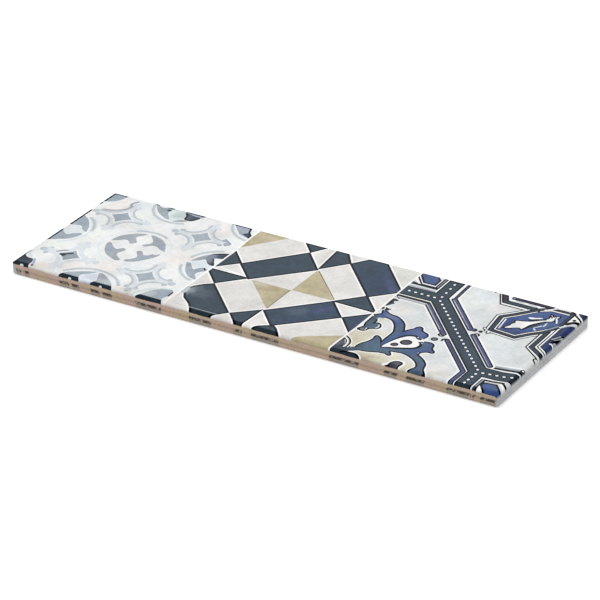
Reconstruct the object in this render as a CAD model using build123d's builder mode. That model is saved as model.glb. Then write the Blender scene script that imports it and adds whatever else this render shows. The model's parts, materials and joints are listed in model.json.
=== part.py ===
"""Decorative ceramic wall tile: one slab, dry-pressed, glazed on its face and fired in one piece.

The tile lies on its back. The origin is the middle of the back, X runs along the tile and Z points out of the face.
"""

import os

from build123d import *

# Overall size, in millimetres
length = 300.0
width = 100.0
thickness = 7.5

# Edge, from the face down: a cushioned arris, an upper wall, the press shoulder, a lower wall and a back chamfer
cushion_reach = 2.8
cushion_drop = 1.4
shoulder_height = 3.4
shoulder_step = 0.3
back_chamfer = 0.8
corner_radius = 1.6

# Key on the back: shallow pockets for the adhesive, between ribs that share one bearing plane
key_columns = 10
key_rows = 4
key_rib = 3.0
key_border = 5.0
key_depth = 0.7
key_corner_radius = 2.5
key_draft = 30.0


def draw_slab_section(span):
    """Outline of the slab across a span: flat face and back, with the same pressed edge at both ends."""
    lower_wall = span / 2
    upper_wall = lower_wall - shoulder_step
    cushion_foot = thickness - cushion_drop
    Polyline(
        (0, 0),
        (lower_wall - back_chamfer, 0),
        (lower_wall, back_chamfer),
        (lower_wall, shoulder_height - shoulder_step),
        (upper_wall, shoulder_height),
        (upper_wall, cushion_foot),
    )
    cushion = EllipticalCenterArc(
        (upper_wall - cushion_reach, cushion_foot), cushion_reach, cushion_drop, arc_size=90
    )
    Line(cushion @ 1, (0, thickness))
    mirror(about=Plane.YZ)


def key_pocket_size(span, border, rib, count):
    """Side of one pocket where count of them, with ribs between, fill the span inside the border."""
    return (span - 2 * border - (count - 1) * rib) / count


key_length = key_pocket_size(length, key_border, key_rib, key_columns)
key_width = key_pocket_size(width, key_border, key_rib, key_rows)

# The slab: its section along X, met by its section along Y, with the four upright corners rounded
with BuildPart() as tile:
    with BuildSketch(Plane.YZ):
        with BuildLine():
            draw_slab_section(width)
        make_face()
    extrude(amount=length / 2, both=True)

    with BuildSketch(Plane.XZ):
        with BuildLine():
            draw_slab_section(length)
        make_face()
    extrude(amount=width / 2, both=True, mode=Mode.INTERSECT)

    with BuildSketch(Plane.XY):
        RectangleRounded(length, width, corner_radius)
    extrude(amount=thickness, mode=Mode.INTERSECT)

    # Key pockets, with drafted walls so that the pressed tile leaves the die
    with BuildSketch(Plane.XY):
        with GridLocations(key_length + key_rib, key_width + key_rib, key_columns, key_rows):
            RectangleRounded(key_length, key_width, key_corner_radius)
    extrude(amount=key_depth, taper=key_draft, mode=Mode.SUBTRACT)

tile.part.label = "tile"

os.makedirs("parts", exist_ok=True)
export_step(tile.part, "parts/tile.step")

print("pocket", round(key_length, 2), "by", round(key_width, 2), "mm")
print("volume", round(tile.part.volume / 1000, 2), "cm3")
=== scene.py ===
"""Decorative wall tile: a glazed slab with three printed fields of traditional patchwork, and its studio.

The tile lies on its back. X runs along it, Z points out of the glazed face, and the origin is the middle
of the back. Outlines of the print are in millimetres, and everything that goes into Blender is in metres.
"""

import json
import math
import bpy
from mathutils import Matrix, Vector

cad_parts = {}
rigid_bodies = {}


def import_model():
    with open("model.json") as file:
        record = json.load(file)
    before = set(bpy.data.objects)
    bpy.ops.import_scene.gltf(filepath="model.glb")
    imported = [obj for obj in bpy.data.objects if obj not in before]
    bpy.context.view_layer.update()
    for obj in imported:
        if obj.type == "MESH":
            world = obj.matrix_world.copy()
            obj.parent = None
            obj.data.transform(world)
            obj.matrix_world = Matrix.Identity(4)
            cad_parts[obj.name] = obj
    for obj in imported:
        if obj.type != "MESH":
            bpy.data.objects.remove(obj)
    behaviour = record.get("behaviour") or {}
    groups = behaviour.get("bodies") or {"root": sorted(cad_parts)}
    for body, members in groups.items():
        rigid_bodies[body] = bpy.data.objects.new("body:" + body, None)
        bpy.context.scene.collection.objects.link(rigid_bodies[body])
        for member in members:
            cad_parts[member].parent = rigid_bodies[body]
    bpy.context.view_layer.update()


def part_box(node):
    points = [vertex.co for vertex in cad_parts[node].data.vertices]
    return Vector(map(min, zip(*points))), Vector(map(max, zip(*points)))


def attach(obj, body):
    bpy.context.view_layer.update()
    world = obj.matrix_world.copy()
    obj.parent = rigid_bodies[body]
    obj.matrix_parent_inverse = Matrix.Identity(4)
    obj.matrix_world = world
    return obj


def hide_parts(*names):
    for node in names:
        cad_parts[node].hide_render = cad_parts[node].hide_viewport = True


bl_info = {
    "name": "Decorative Wall Tile",
    "version": (1, 0, 0),
    "blender": (4, 5, 0),
    "location": "View3D > Sidebar > Wall Tile",
    "description": "Builds a printed and glazed wall tile with its key back, and a plain studio around it",
    "category": "Add Mesh",
}

import bpy
import numpy as np
from bpy.props import FloatProperty, FloatVectorProperty, IntProperty, PointerProperty
from bpy.types import Operator, Panel, PropertyGroup
from mathutils import Matrix, Vector
from mathutils.geometry import delaunay_2d_cdt
from mathutils.kdtree import KDTree

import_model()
TILE_LOW, TILE_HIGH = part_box("tile")
TILE_SIZE = TILE_HIGH - TILE_LOW

MM = 0.001


def linear(code):
    """An sRGB hex code as linear red, green and blue."""
    shares = [int(code[i:i + 2], 16) / 255 for i in (1, 3, 5)]
    return tuple(s / 12.92 if s <= 0.04045 else ((s + 0.055) / 1.055) ** 2.4 for s in shares)


def length(name, description, millimetres):
    """A size that the user can change, given in millimetres and kept in metres."""
    return FloatProperty(
        name=name, description=description, default=millimetres * MM, min=0.0, precision=5, unit="LENGTH"
    )


def angle(name, description, degrees):
    """An angle that the user can change, given in degrees."""
    return FloatProperty(name=name, description=description, default=math.radians(degrees), subtype="ANGLE")


def amount(name, description, default):
    """A plain number that the user can change, not below nothing."""
    return FloatProperty(name=name, description=description, default=default, min=0.0)


def colour(name, description, code):
    """A colour that the user can change."""
    return FloatVectorProperty(
        name=name, description=description, default=linear(code), min=0.0, max=1.0, size=3, subtype="COLOR"
    )


class WallTileSizes(PropertyGroup):
    """Sizes of the pressed slab. Its length, width and thickness follow the frame."""

    long_side: length("Length", "Long side of the tile", TILE_SIZE.x / MM)
    short_side: length("Width", "Short side of the tile", TILE_SIZE.y / MM)
    thickness: length("Thickness", "From the bearing plane to the face", TILE_SIZE.z / MM)
    cushion_reach: length("Cushion Reach", "How far the rounded arris runs in over the face", 2.1)
    cushion_drop: length("Cushion Drop", "How far the rounded arris falls to the wall", 0.95)
    glaze_foot: length("Glaze Foot", "Mean height at which the glaze ends on the long sides", 5.95)
    glaze_wave: length("Glaze Wave", "How far the end of the glaze wanders up and down", 0.18)
    glaze_run: length("Glaze Run", "How far the ink ran down the two ends", 1.2)
    shoulder_height: length("Shoulder Height", "Top of the press shoulder", 3.4)
    shoulder_step: length("Shoulder Step", "How far the lower wall stands out", 0.3)
    back_chamfer: length("Back Chamfer", "Chamfer round the back", 0.8)
    corner_radius: length("Corner Radius", "Radius of the four upright corners", 1.6)
    key_rib: length("Key Rib", "Width of the ribs between the pockets of the back", 3.0)
    key_border: length("Key Border", "Plain border round the pockets of the back", 5.0)
    key_depth: length("Key Depth", "Depth of the pockets of the back", 0.7)
    key_corner: length("Key Corner", "Corner radius of the pockets of the back", 2.5)
    key_draft: angle("Key Draft", "Slope of the pocket walls from upright", 30)
    key_columns: IntProperty(name="Key Columns", description="Pockets along the tile", default=10, min=1)
    key_rows: IntProperty(name="Key Rows", description="Pockets across the tile", default=4, min=1)


class WallTileInks(PropertyGroup):
    """Colours of the print, the glaze and the fired clay."""

    porcelain: colour("Porcelain", "Ground of the lattice field", "#eeefef")
    chalk: colour("Chalk", "Ground of the quilt field", "#e4e2df")
    milk: colour("Milk", "Ground of the scroll field", "#e1e4e5")
    cream: colour("Cream", "Ground inside the scroll", "#dcd9c6")
    sand: colour("Sand", "Warm stain on pale ground", "#cfc1a8")
    blush: colour("Blush", "Pink stain on pale ground", "#f1eae5")
    celadon: colour("Celadon", "Green stain on pale ground", "#e7eee6")
    ice: colour("Ice", "Blue stain on pale ground", "#e3ebf2")
    bright: colour("Bright", "White lines beside dark ink", "#fefefe")
    mist: colour("Mist", "Palest wash of the lattice", "#dbe1e5")
    haze: colour("Haze", "Pale wash of the lattice", "#bfc7cc")
    dove: colour("Dove", "Grey of the lattice discs", "#a7acb3")
    steel: colour("Steel", "Blue grey of the lattice stars", "#a1adb8")
    lavender: colour("Lavender", "Lilac grey wash", "#a9aebf")
    mint: colour("Mint", "Greenish white wash", "#d7e3e0")
    slate: colour("Slate", "Dark blue grey", "#384855")
    blue_slate: colour("Blue Slate", "Dark blue grey with more blue", "#394a60")
    deep_slate: colour("Deep Slate", "Dark ink where it runs over the arris", "#28323a")
    indigo: colour("Indigo", "Violet blue in the dark patches", "#4e5780")
    worn_slate: colour("Worn Slate", "Slate where it is rubbed thin", "#98a1a9")
    plum: colour("Plum", "Violet black", "#363245")
    outline: colour("Outline", "Near black of the drawn lines", "#05070c")
    gold: colour("Gold", "Ochre of the quilt", "#bdb394")
    umber: colour("Umber", "Brown lines beside the ochre", "#8a7e5e")
    cobalt: colour("Cobalt", "Blue of the scroll and medallion", "#465d92")
    teal: colour("Teal", "Greener blue of the scroll", "#536a7f")
    navy: colour("Navy", "Deep blue beside the medallion", "#2a3e75")
    periwinkle: colour("Periwinkle", "Blue of the stripes", "#50587f")
    end_glaze: colour("End Glaze", "Glaze that ran over the two ends", "#c8cacd")
    biscuit: colour("Biscuit", "Fired clay of the long sides and back", "#d0b4a7")
    biscuit_warm: colour("Warm Biscuit", "Yellower patches of the clay", "#cbb89b")
    veil: colour("Veil", "Thin grey film of ink on the clay", "#a8a096")
    overspray: colour("Overspray", "Brown black ink caught by the press shoulder", "#463a30")


class WallTileStudio(PropertyGroup):
    """The camera and the light."""

    azimuth: angle("Azimuth", "Camera's turn round the tile", 31.83)
    elevation: angle("Elevation", "Camera's height over the floor", 27.46)
    roll: angle("Roll", "Camera's turn about its own axis", -0.91)
    distance: length("Distance", "From the camera to the tile", 1828.4)
    aim_right: length("Aim Right", "How far right of the origin the camera aims", 2.51)
    lens: FloatProperty(name="Lens", description="Focal length in millimetres", default=205.3, min=1.0)
    ambient: amount("Ambient", "Strength of the even light all round", 0.55)
    softbox: amount("Softbox", "Power of the overhead softbox in watts", 14.0)
    floor: colour("Floor", "Pale studio floor", "#f0f0f0")
    floor_lift: amount("Floor Lift", "Light that brings the floor up to white in the picture", 0.4)


# Outlines of the print, in millimetres from the middle of the tile

def smooth_line(points, closed=False, steps=6):
    """Points along a smooth curve through the given ones, joined up where it is closed."""
    knots = np.array(points, float)
    if closed:
        knots = np.vstack([knots[-1:], knots, knots[:2]])
    else:
        knots = np.vstack([2 * knots[:1] - knots[1:2], knots, 2 * knots[-1:] - knots[-2:-1]])
    t = np.arange(steps)[:, None] / steps
    spans = []
    for a, b, c, d in zip(knots, knots[1:], knots[2:], knots[3:]):
        bend = (2 * a - 5 * b + 4 * c - d) * t**2 + (3 * b - a - 3 * c + d) * t**3
        spans.append(b + 0.5 * ((c - a) * t + bend))
    if not closed:
        spans.append(knots[-2:-1])
    return np.vstack(spans)


def parallel(points, offset, closed=False, sharpest=2.5):
    """A line moved to its left by offset, with mitred corners no longer than sharpest times the offset."""
    points = np.array(points, float)
    runs = np.roll(points, -1, 0) - points
    runs /= np.maximum(np.linalg.norm(runs, axis=1, keepdims=True), 1e-9)
    after = np.stack([-runs[:, 1], runs[:, 0]], 1)
    before = np.roll(after, 1, 0)
    if not closed:
        before[0] = after[0]
        after[-1] = before[-1]
    mitre = (before + after) / np.maximum(1 + (before * after).sum(1, keepdims=True), 1e-6)
    stretch = np.linalg.norm(mitre, axis=1, keepdims=True)
    mitre *= np.minimum(1, sharpest / np.maximum(stretch, 1e-9))
    return points + offset * mitre


def inset(patch, depth):
    """A patch drawn in by depth, whichever way its outline runs."""
    x, y = np.array(patch, float).T
    area = (x * np.roll(y, -1) - np.roll(x, -1) * y).sum()
    return parallel(patch, math.copysign(depth, area), closed=True)


def arc(x, y, radius, start, end, steps):
    """Points on a circle, from one angle to another in degrees."""
    turn = np.radians(np.linspace(start, end, steps))
    return np.stack([x + radius * np.cos(turn), y + radius * np.sin(turn)], 1)


def band(points, width, closed=False, round_ends=False):
    """Outline of a line of some width. A closed one is a ring, cut open at its first point."""
    left = parallel(points, width / 2, closed)
    right = parallel(points, -width / 2, closed)
    if closed:
        return np.vstack([left, left[:1], right[:1], right[::-1]])
    if not round_ends:
        return np.vstack([left, right[::-1]])
    caps = []
    for tip, beside in ((points[-1], left[-1]), (points[0], right[0])):
        side = np.degrees(math.atan2(beside[1] - tip[1], beside[0] - tip[0]))
        caps.append(arc(tip[0], tip[1], width / 2, side, side - 180, 9)[1:-1])
    return np.vstack([left, caps[0], right[::-1], caps[1]])


def turned(points, quarters):
    """Points turned about the origin by quarter turns."""
    points = np.array(points, float)
    for _ in range(quarters % 4):
        points = np.stack([-points[:, 1], points[:, 0]], 1)
    return points


def spin(degrees):
    """Matrix that turns a row of coordinates."""
    turn = math.radians(degrees)
    return np.array([[math.cos(turn), math.sin(turn)], [-math.sin(turn), math.cos(turn)]])


class FieldPrint:
    """Marks of ink on one field of the face. A later one covers an earlier one, and washes tint the inks."""

    def __init__(self, ground):
        self.ground = ground
        self.marks = []
        self.washes = []

    def fill(self, ink, points):
        """A patch with straight sides."""
        self.marks.append((ink, np.array(points, float)))

    def leaf(self, ink, points):
        """A patch with a smooth outline through the points."""
        self.fill(ink, smooth_line(points, closed=True))

    def line(self, ink, points, width, closed=False, round_ends=False):
        """A line with straight runs."""
        self.fill(ink, band(points, width, closed, round_ends))

    def curl(self, ink, points, width, closed=False):
        """A smooth line through the points, with round ends."""
        self.fill(ink, band(smooth_line(points, closed), width, closed, not closed))

    def dot(self, ink, x, y, radius, stretch=1.0, turn=0.0):
        """A dot, stretched along a direction in degrees where stretch is over 1."""
        self.fill(ink, arc(0, 0, radius, 0, 340, 18) * (stretch, 1.0) @ spin(turn) + (x, y))

    def wash(self, ink, toward, x, y, along, across, turn=0.0, strength=1.0):
        """Draws one ink towards another inside a soft oval, along and across a direction in degrees."""
        self.washes.append((ink, toward, (x, y), (along, across), turn, strength))


# The lattice field: discs cut by a quatrefoil cross, with concave stars between them

def lay_star(field, x, y, ink, frame_ink, knob_inks):
    """A concave star in a pale cross. Its four arms end in trefoil knobs, named from the right one round."""
    frame_width, seam_width = 1.3, 2.0
    arm = [(2.2, 15.0), (2.3, 11.0), (3.0, 8.0), (4.5, 5.7), (5.7, 4.5), (8.0, 3.0), (11.0, 2.3),
           (15.0, 2.2)]
    arms = [turned(smooth_line(arm), -quarter) + (x, y) for quarter in range(4)]
    field.fill("mist", np.vstack(arms))
    for quarter in range(4):
        field.fill(frame_ink, band(arms[quarter], frame_width, round_ends=True))
        for along, aside, size in ((17.0, 0.0, 2.2), (13.8, 2.9, 1.6), (13.8, -2.9, 1.6)):
            knob_x, knob_y = turned([(along, aside)], quarter)[0]
            field.dot(knob_inks[quarter], x + knob_x, y + knob_y, size)
    tip = 6.8
    pinch = 0.37 * tip
    side = [(tip * (1 - t) ** 2 + 2 * pinch * t * (1 - t), tip * t**2 + 2 * pinch * t * (1 - t))
            for t in np.linspace(0, 1, 7)[:-1]]
    star = np.vstack([turned(side, quarter) for quarter in range(4)]) + (x, y)
    field.line("porcelain", star, seam_width, closed=True)
    field.fill(ink, star)


def lay_discs(field):
    """The brackets of the discs, each a quarter with an inner knob, and the lobes that show between them."""
    field.leaf("mist", [(-147.5, 4.6), (-143.6, 5), (-139.6, 2), (-135.6, -1), (-138.6, -4), (-142.4, -7.2),
                        (-147.5, -5)])
    field.leaf("mint", [(-107, 49.6), (-101.6, 49.6), (-98.6, 45), (-96.6, 41.5), (-99, 38), (-101.4, 34.8),
                        (-103.6, 35.8), (-106.4, 39), (-108.8, 42), (-109, 46)])
    field.leaf("ice", [(-101.5, -38), (-98.6, -42.4), (-97.2, -46), (-98.4, -52), (-106, -52),
                       (-107.8, -46), (-105.4, -42)])
    field.leaf("ice", [(-63.6, -3.2), (-61.4, -5.4), (-58.8, -8), (-57.2, -6), (-54.6, -4.4), (-52.6, -4.2),
                       (-52.4, -1.6), (-55, -0.6), (-57.4, 1.6), (-59.6, 3.2), (-61.8, 1.2), (-64.4, -0.6)])
    field.dot("ice", -53.4, -13.0, 1.8)
    brackets = [
        ("dove", [(-117.3, -1.5), (-116.5, 3.6), (-114.3, 7.4), (-110.9, 10.8), (-108.3, 12.6),
                  (-105.3, 13.9), (-103.6, 13.6), (-104.9, 11.5), (-107.1, 8.5), (-105.6, 5.5),
                  (-103.4, 3.1), (-103.9, 1.6), (-105.6, -0.1), (-107.3, 1.0), (-109.0, 2.4), (-110.5, 2.7),
                  (-112.4, 1.6), (-113.9, 0.1)]),
        ("dove", [(-101.2, 13.9), (-99.3, 14.5), (-95.5, 13.5), (-92.1, 11.9), (-88.7, 8.9), (-86.1, 5.1),
                  (-84.0, 0.9), (-85.4, 1.0), (-88.0, 1.9), (-90.3, 3.4), (-92.5, 3.8), (-94.4, 3.1),
                  (-95.9, 1.4), (-97.6, 0.6), (-99.1, 1.6), (-97.6, 3.6), (-96.1, 5.5), (-96.3, 8.1),
                  (-98.1, 10.4), (-100.0, 12.5)]),
        ("dove", [(-116.6, -3.8), (-117.3, -5.7), (-115.8, -9.9), (-113.1, -14.4), (-109.8, -17.4),
                  (-106.8, -19.0), (-101.9, -21.0), (-99.7, -19.4), (-101.9, -17.4), (-104.1, -15.7),
                  (-105.4, -13.3), (-104.7, -11.0), (-103.6, -8.4), (-104.3, -6.9), (-106.0, -6.5),
                  (-107.1, -7.6), (-108.6, -9.1), (-110.9, -8.4), (-113.1, -6.5), (-115.0, -4.6)]),
        ("dove", [(-84.7, -2.9), (-84.0, -4.4), (-85.0, -8.0), (-87.3, -11.8), (-90.3, -15.9),
                  (-93.6, -18.5), (-96.9, -19.5), (-97.6, -17.4), (-95.9, -15.9), (-94.0, -13.3),
                  (-94.0, -11.0), (-95.9, -8.4), (-97.4, -6.5), (-96.8, -5.0), (-95.1, -4.6), (-93.6, -6.1),
                  (-91.8, -8.0), (-89.5, -7.3), (-88.0, -5.0), (-86.1, -4.8)]),
        ("steel", [(-151.0, 17.4), (-147.3, 16.4), (-145.0, 15.1), (-142.4, 12.9), (-139.7, 9.5),
                   (-137.5, 6.1), (-136.0, 2.8), (-135.1, -0.4), (-136.8, 0.1), (-139.4, 2.0),
                   (-141.3, 4.3), (-143.5, 5.0), (-145.4, 4.3), (-151.0, 4.6)]),
        ("steel", [(-151.0, -4.2), (-146.9, -5.1), (-144.6, -7.0), (-142.4, -7.4), (-140.5, -5.1),
                   (-138.6, -4.0), (-136.4, -2.7), (-135.4, -4.4), (-136.8, -8.9), (-139.4, -12.3),
                   (-142.8, -14.5), (-146.1, -16.8), (-151.0, -18.0)]),
        ("dove", [(-65.6, -0.6), (-65.0, 2.0), (-63.9, 5.4), (-62.0, 8.4), (-59.8, 10.6), (-57.1, 12.9),
                  (-54.1, 14.8), (-49.0, 16.6), (-49.0, 10.2), (-54.1, 8.4), (-56.0, 7.1), (-55.3, 5.0),
                  (-53.0, 2.8), (-51.6, 0.5), (-52.3, -0.7), (-54.5, -0.3), (-56.4, 0.9), (-57.9, 2.8),
                  (-59.8, 3.9), (-61.6, 2.0), (-63.5, 0.5)]),
        ("steel", [(-66.5, -4.0), (-65.8, -3.2), (-63.9, -3.6), (-62.0, -5.9), (-60.1, -8.1), (-58.6, -8.9),
                   (-57.1, -6.3), (-54.9, -4.6), (-52.4, -5.4), (-51.9, -7.4), (-53.8, -9.6),
                   (-54.9, -11.5), (-54.9, -13.4), (-53.0, -16.0), (-49.0, -19.0), (-54.9, -18.3),
                   (-59.0, -15.6), (-62.0, -12.3), (-64.6, -7.8)]),
        ("steel", [(-121.0, 50.2), (-117.4, 47.4), (-114.3, 46.5), (-111.3, 48.6), (-107.6, 49.2),
                   (-109.0, 45.4), (-108.6, 42.0), (-106.4, 39.0), (-103.9, 35.6), (-106.0, 35.5),
                   (-109.4, 37.1), (-113.2, 39.5), (-116.2, 42.5), (-118.6, 45.6)]),
        ("dove", [(-101.0, 34.4), (-99.2, 37.1), (-97.0, 39.0), (-94.0, 38.7), (-95.5, 36.7),
                  (-98.5, 34.9)]),
        ("steel", [(-100.6, 49.2), (-98.6, 47.4), (-93.6, 46.4), (-89.2, 45.6), (-88.0, 49.6),
                   (-94, 50.6)]),
        ("steel", [(-102.0, -37.5), (-103.8, -37.9), (-108.3, -40.1), (-112.4, -42.7), (-115.8, -45.0),
                   (-117.8, -47.4), (-118.8, -52.0), (-106.0, -52.0), (-107.9, -46.5), (-107.9, -44.3),
                   (-105.6, -42.0), (-103.4, -39.7)]),
        ("dove", [(-100.4, -38.3), (-98.5, -37.4), (-94.0, -40.1), (-89.5, -43.5), (-86.9, -46.3),
                  (-85.0, -52.0), (-98.4, -52.0), (-97.2, -46.9), (-97.4, -45.0), (-98.5, -42.4),
                  (-99.6, -40.1)]),
        ("steel", [(-151, 51), (-140.2, 51), (-140.1, 46.5), (-141.3, 42.7), (-144.0, 39.0), (-151, 37.4)]),
        ("lavender", [(-69.2, 49.8), (-66.0, 45.6), (-63.0, 42.4), (-60.0, 39.5), (-57.2, 38.4),
                      (-53.2, 37.6), (-54.4, 41.2), (-56.8, 43.8), (-58.0, 47.6), (-58.2, 51.0),
                      (-66, 51.4)]),
        ("steel", [(-67.4, -46.8), (-65.2, -41.2), (-62.0, -38.0), (-58.4, -36.0), (-54.6, -35.4),
                   (-53.2, -40.0), (-54.6, -46.0), (-53.4, -52.0), (-69.4, -52.0)]),
    ]
    for ink, bracket in brackets:
        field.leaf(ink, bracket)
    dark = [
        ("blue_slate", [(-60.6, 9.8), (-57.0, 13.0), (-49.0, 16.8), (-49.0, 10.0), (-54.3, 8.4),
                        (-56.0, 7.0), (-55.2, 5.0), (-53.0, 2.7), (-51.6, -0.4), (-54.6, -0.2),
                        (-56.5, 1.0), (-58.0, 2.8), (-59.6, 5.0)]),
        ("slate", [(-100.0, 47.3), (-97.0, 46.8), (-93.6, 46.0), (-89.4, 45.2), (-90.2, 42.4),
                   (-92.0, 39.8), (-96.4, 39.7), (-96.4, 42.7), (-98.1, 45.0)]),
        ("slate", [(-152, -32.6), (-149.0, -33.0), (-148.0, -39.0), (-145.2, -41.4), (-141.6, -41.8),
                   (-139.8, -45.2), (-139.4, -49.0), (-137.6, -54.0), (-152, -54)]),
        ("slate", [(-58.4, 40.4), (-55.8, 43.0), (-53.6, 41.2), (-52.8, 37.4), (-55.0, 38.4)]),
        ("slate", [(-132.4, -29.4), (-130.0, -27.4), (-126.6, -24.6), (-126.0, -26.6), (-128.4, -28.4),
                   (-129.2, -31.2)]),
    ]
    for ink, patch in dark:
        field.leaf(ink, patch)
    field.leaf("outline", [(-60.2, 10.9), (-57.2, 13.6), (-52.0, 16.2), (-49.5, 16.6), (-49.5, 14.9),
                           (-52.2, 14.3), (-56.6, 12.4)])
    for path, width in (
        ([(-52.6, 15.0), (-52.6, 10.0)], 0.9), ([(-56.0, 6.6), (-54.7, 4.4), (-52.6, 0.8)], 0.9),
        ([(-54.2, -5.2), (-52.9, -6.8)], 1.0),
    ):
        field.curl("deep_slate", path, width)
    strokes = [
        ([(-99.8, 47.2), (-97.4, 44.0), (-96.2, 40.2), (-92.2, 40.2), (-89.9, 45.0)], 1.1),
        ([(-57.8, 48.2), (-56.2, 43.6), (-53.6, 40.6), (-53.6, 38.2)], 1.2),
        ([(-100.0, 49.3), (-88.4, 49.2)], 1.0),
        ([(-131.8, -29.6), (-129.6, -28.4)], 1.6), ([(-53.6, -37.4), (-53.4, -42.0)], 1.0),
    ]
    for path, width in strokes:
        field.curl("outline", path, width)
    field.dot("slate", -109.9, 45.2, 1.3)
    field.curl("mist", [(-147.8, -33.8), (-146.4, -37.8), (-143.6, -40.2)], 2.0)
    field.curl("lavender", [(-140.6, -41.4), (-138.8, -44.8), (-137.6, -48.2)], 1.4)
    field.line("plum", [(-68.5, 49.3), (-57.5, 49.3)], 1.6)
    for start, end in ((-17.0, -3.0), (5.5, 13.0), (15.0, 25.0), (41.0, 51.0)):
        field.line("deep_slate", [(-149.2, start), (-149.2, end)], 3.0)
    field.line("worn_slate", [(-149.2, 33.0), (-149.2, 36.0)], 2.6)
    field.leaf("porcelain", [(-145, -52.4), (-144.6, -49.6), (-142.4, -49.6), (-141.4, -52.4)])
    for x in (-112.2, -92.2):
        field.leaf("porcelain", [(x - 1.6, -52.0), (x - 0.6, -49.7), (x + 1.2, -49.6), (x + 2.0, -52.0)])


def lattice_field():
    """Discs and stars on a square lattice, rubbed pale in the middle and dark only where the ink pooled."""
    field = FieldPrint("porcelain")
    rings = [
        ("ice", -101.0, -3.0, 20.2, 120, 420, 0.9), ("haze", -101.0, -3.0, 20.4, 62, 120, 1.2),
        ("haze", -152.4, -1.0, 19.4, 8, 62, 1.5), ("mist", -152.4, -1.0, 19.4, -60, 8, 1.2),
        ("haze", -48.8, -1.2, 19.4, 110, 170, 1.4), ("haze", -48.8, -1.6, 19.6, 196, 258, 1.4),
        ("haze", -102.6, 51.0, 18.4, 185, 300, 1.3), ("haze", -101.0, -56.0, 20.8, 30, 150, 1.3),
        ("haze", -50.0, 54.4, 20.4, 196, 262, 1.2), ("mint", -52.0, -55.0, 20.6, 100, 170, 1.4),
    ]
    for ink, x, y, radius, start, end, width in rings:
        path = arc(x, y, radius, start, end, 40)
        if ink != "ice":
            field.line("mist" if ink == "haze" else "ice", path, 2 * width)
        field.line(ink, path, width)
    lay_star(field, -128.5, 25.0, "steel", "haze", ["mist", "mist", "haze", "mist"])
    lay_star(field, -76.2, 25.6, "steel", "haze", ["lavender", "mist", "haze", "mist"])
    lay_star(field, -126.4, -28.6, "steel", "mist", ["mist", "mist", "haze", "mist"])
    lay_star(field, -76.4, -29.2, "steel", "haze", ["haze", "mist", "mist", "haze"])
    field.curl("dove", [(-131.0, 45.6), (-132.6, 41.6), (-131.0, 38.2), (-131.5, 35.2), (-133.8, 32.2),
                        (-137.1, 30.0), (-141.2, 28.6)], 1.7)
    for stroke in (
        ("worn_slate", [(-62.8, 30.0), (-60.6, 28.4), (-57.8, 26.6)], 1.2),
        ("dove", [(-60.6, 26.2), (-59.2, 23.4)], 1.6),
        ("dove", [(-131.2, -24.0), (-133.8, -25.8), (-135.2, -27.8)], 1.5),
    ):
        field.curl(*stroke)
    lay_discs(field)
    for wash in (
        ("dove", "steel", -86, 6, 7, 7), ("dove", "steel", -113, -12, 8, 8),
        ("dove", "steel", -90, -13, 7, 7), ("steel", "haze", -113, -45, 7, 4, 0, 0.4),
        ("dove", "haze", -92, -45, 7, 4), ("steel", "haze", -65, -44, 6, 6),
        ("lavender", "steel", -60, 42, 5, 5),
    ):
        field.wash(*wash)
    for x, y, strength in ((-76.2, 25.6, 0.45), (-76.4, -29.2, 0.25)):
        field.wash("steel", "haze", x, y, 7, 7, 0, strength)
    for x, y, along, across, strength in (
        (-126, -30, 6, 6, 0.8), (-144, -10, 6, 8, 0.8), (-143, 9, 6, 8, 0.4), (-112, 44, 8, 6, 0.9),
        (-147, 45, 6, 6, 0.8), (-56, -8, 4, 4, 0.7), (-65, -6, 4, 4, 0.4),
    ):
        field.wash("steel", "worn_slate", x, y, along, across, 0, strength)
    for wash in (
        ("dove", "worn_slate", -61, 4, 4, 6, 0, 1.0), ("blue_slate", "lavender", -58.5, 8, 4, 6, 0, 0.6),
        ("blue_slate", "worn_slate", -56.5, 3, 4, 4, 40, 0.45),
        ("blue_slate", "deep_slate", -53, 1, 3, 3, 0, 0.7), ("ice", "lavender", -101.5, -50, 5, 4, 0, 0.9),
        ("ice", "lavender", -101.5, -44, 6, 6, 0, 0.35), ("mint", "steel", -102, 43, 5, 6, 0, 0.35),
        ("slate", "deep_slate", -147, -42, 6, 6), ("slate", "worn_slate", -96, 43, 5, 4, 0, 0.2),
    ):
        field.wash(*wash)
    for toward, x, y, reach in (
        ("blush", -72, -4, 16), ("blush", -137, 36, 9), ("blush", -101, -29, 12), ("blush", -70, 40, 12),
        ("celadon", -131, -2, 12), ("celadon", -118, 28, 14), ("celadon", -140, -22, 10),
        ("ice", -127, 42, 9), ("ice", -88, -24, 9), ("blush", -118, -38, 9), ("celadon", -74, 14, 9),
        ("sand", -133, -49, 8), ("sand", -77, -50, 8),
    ):
        field.wash("porcelain", toward, x, y, reach, reach, 0, 0.55)
    return field


# The quilt field: long patches on the diagonal, with triangles between them

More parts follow.
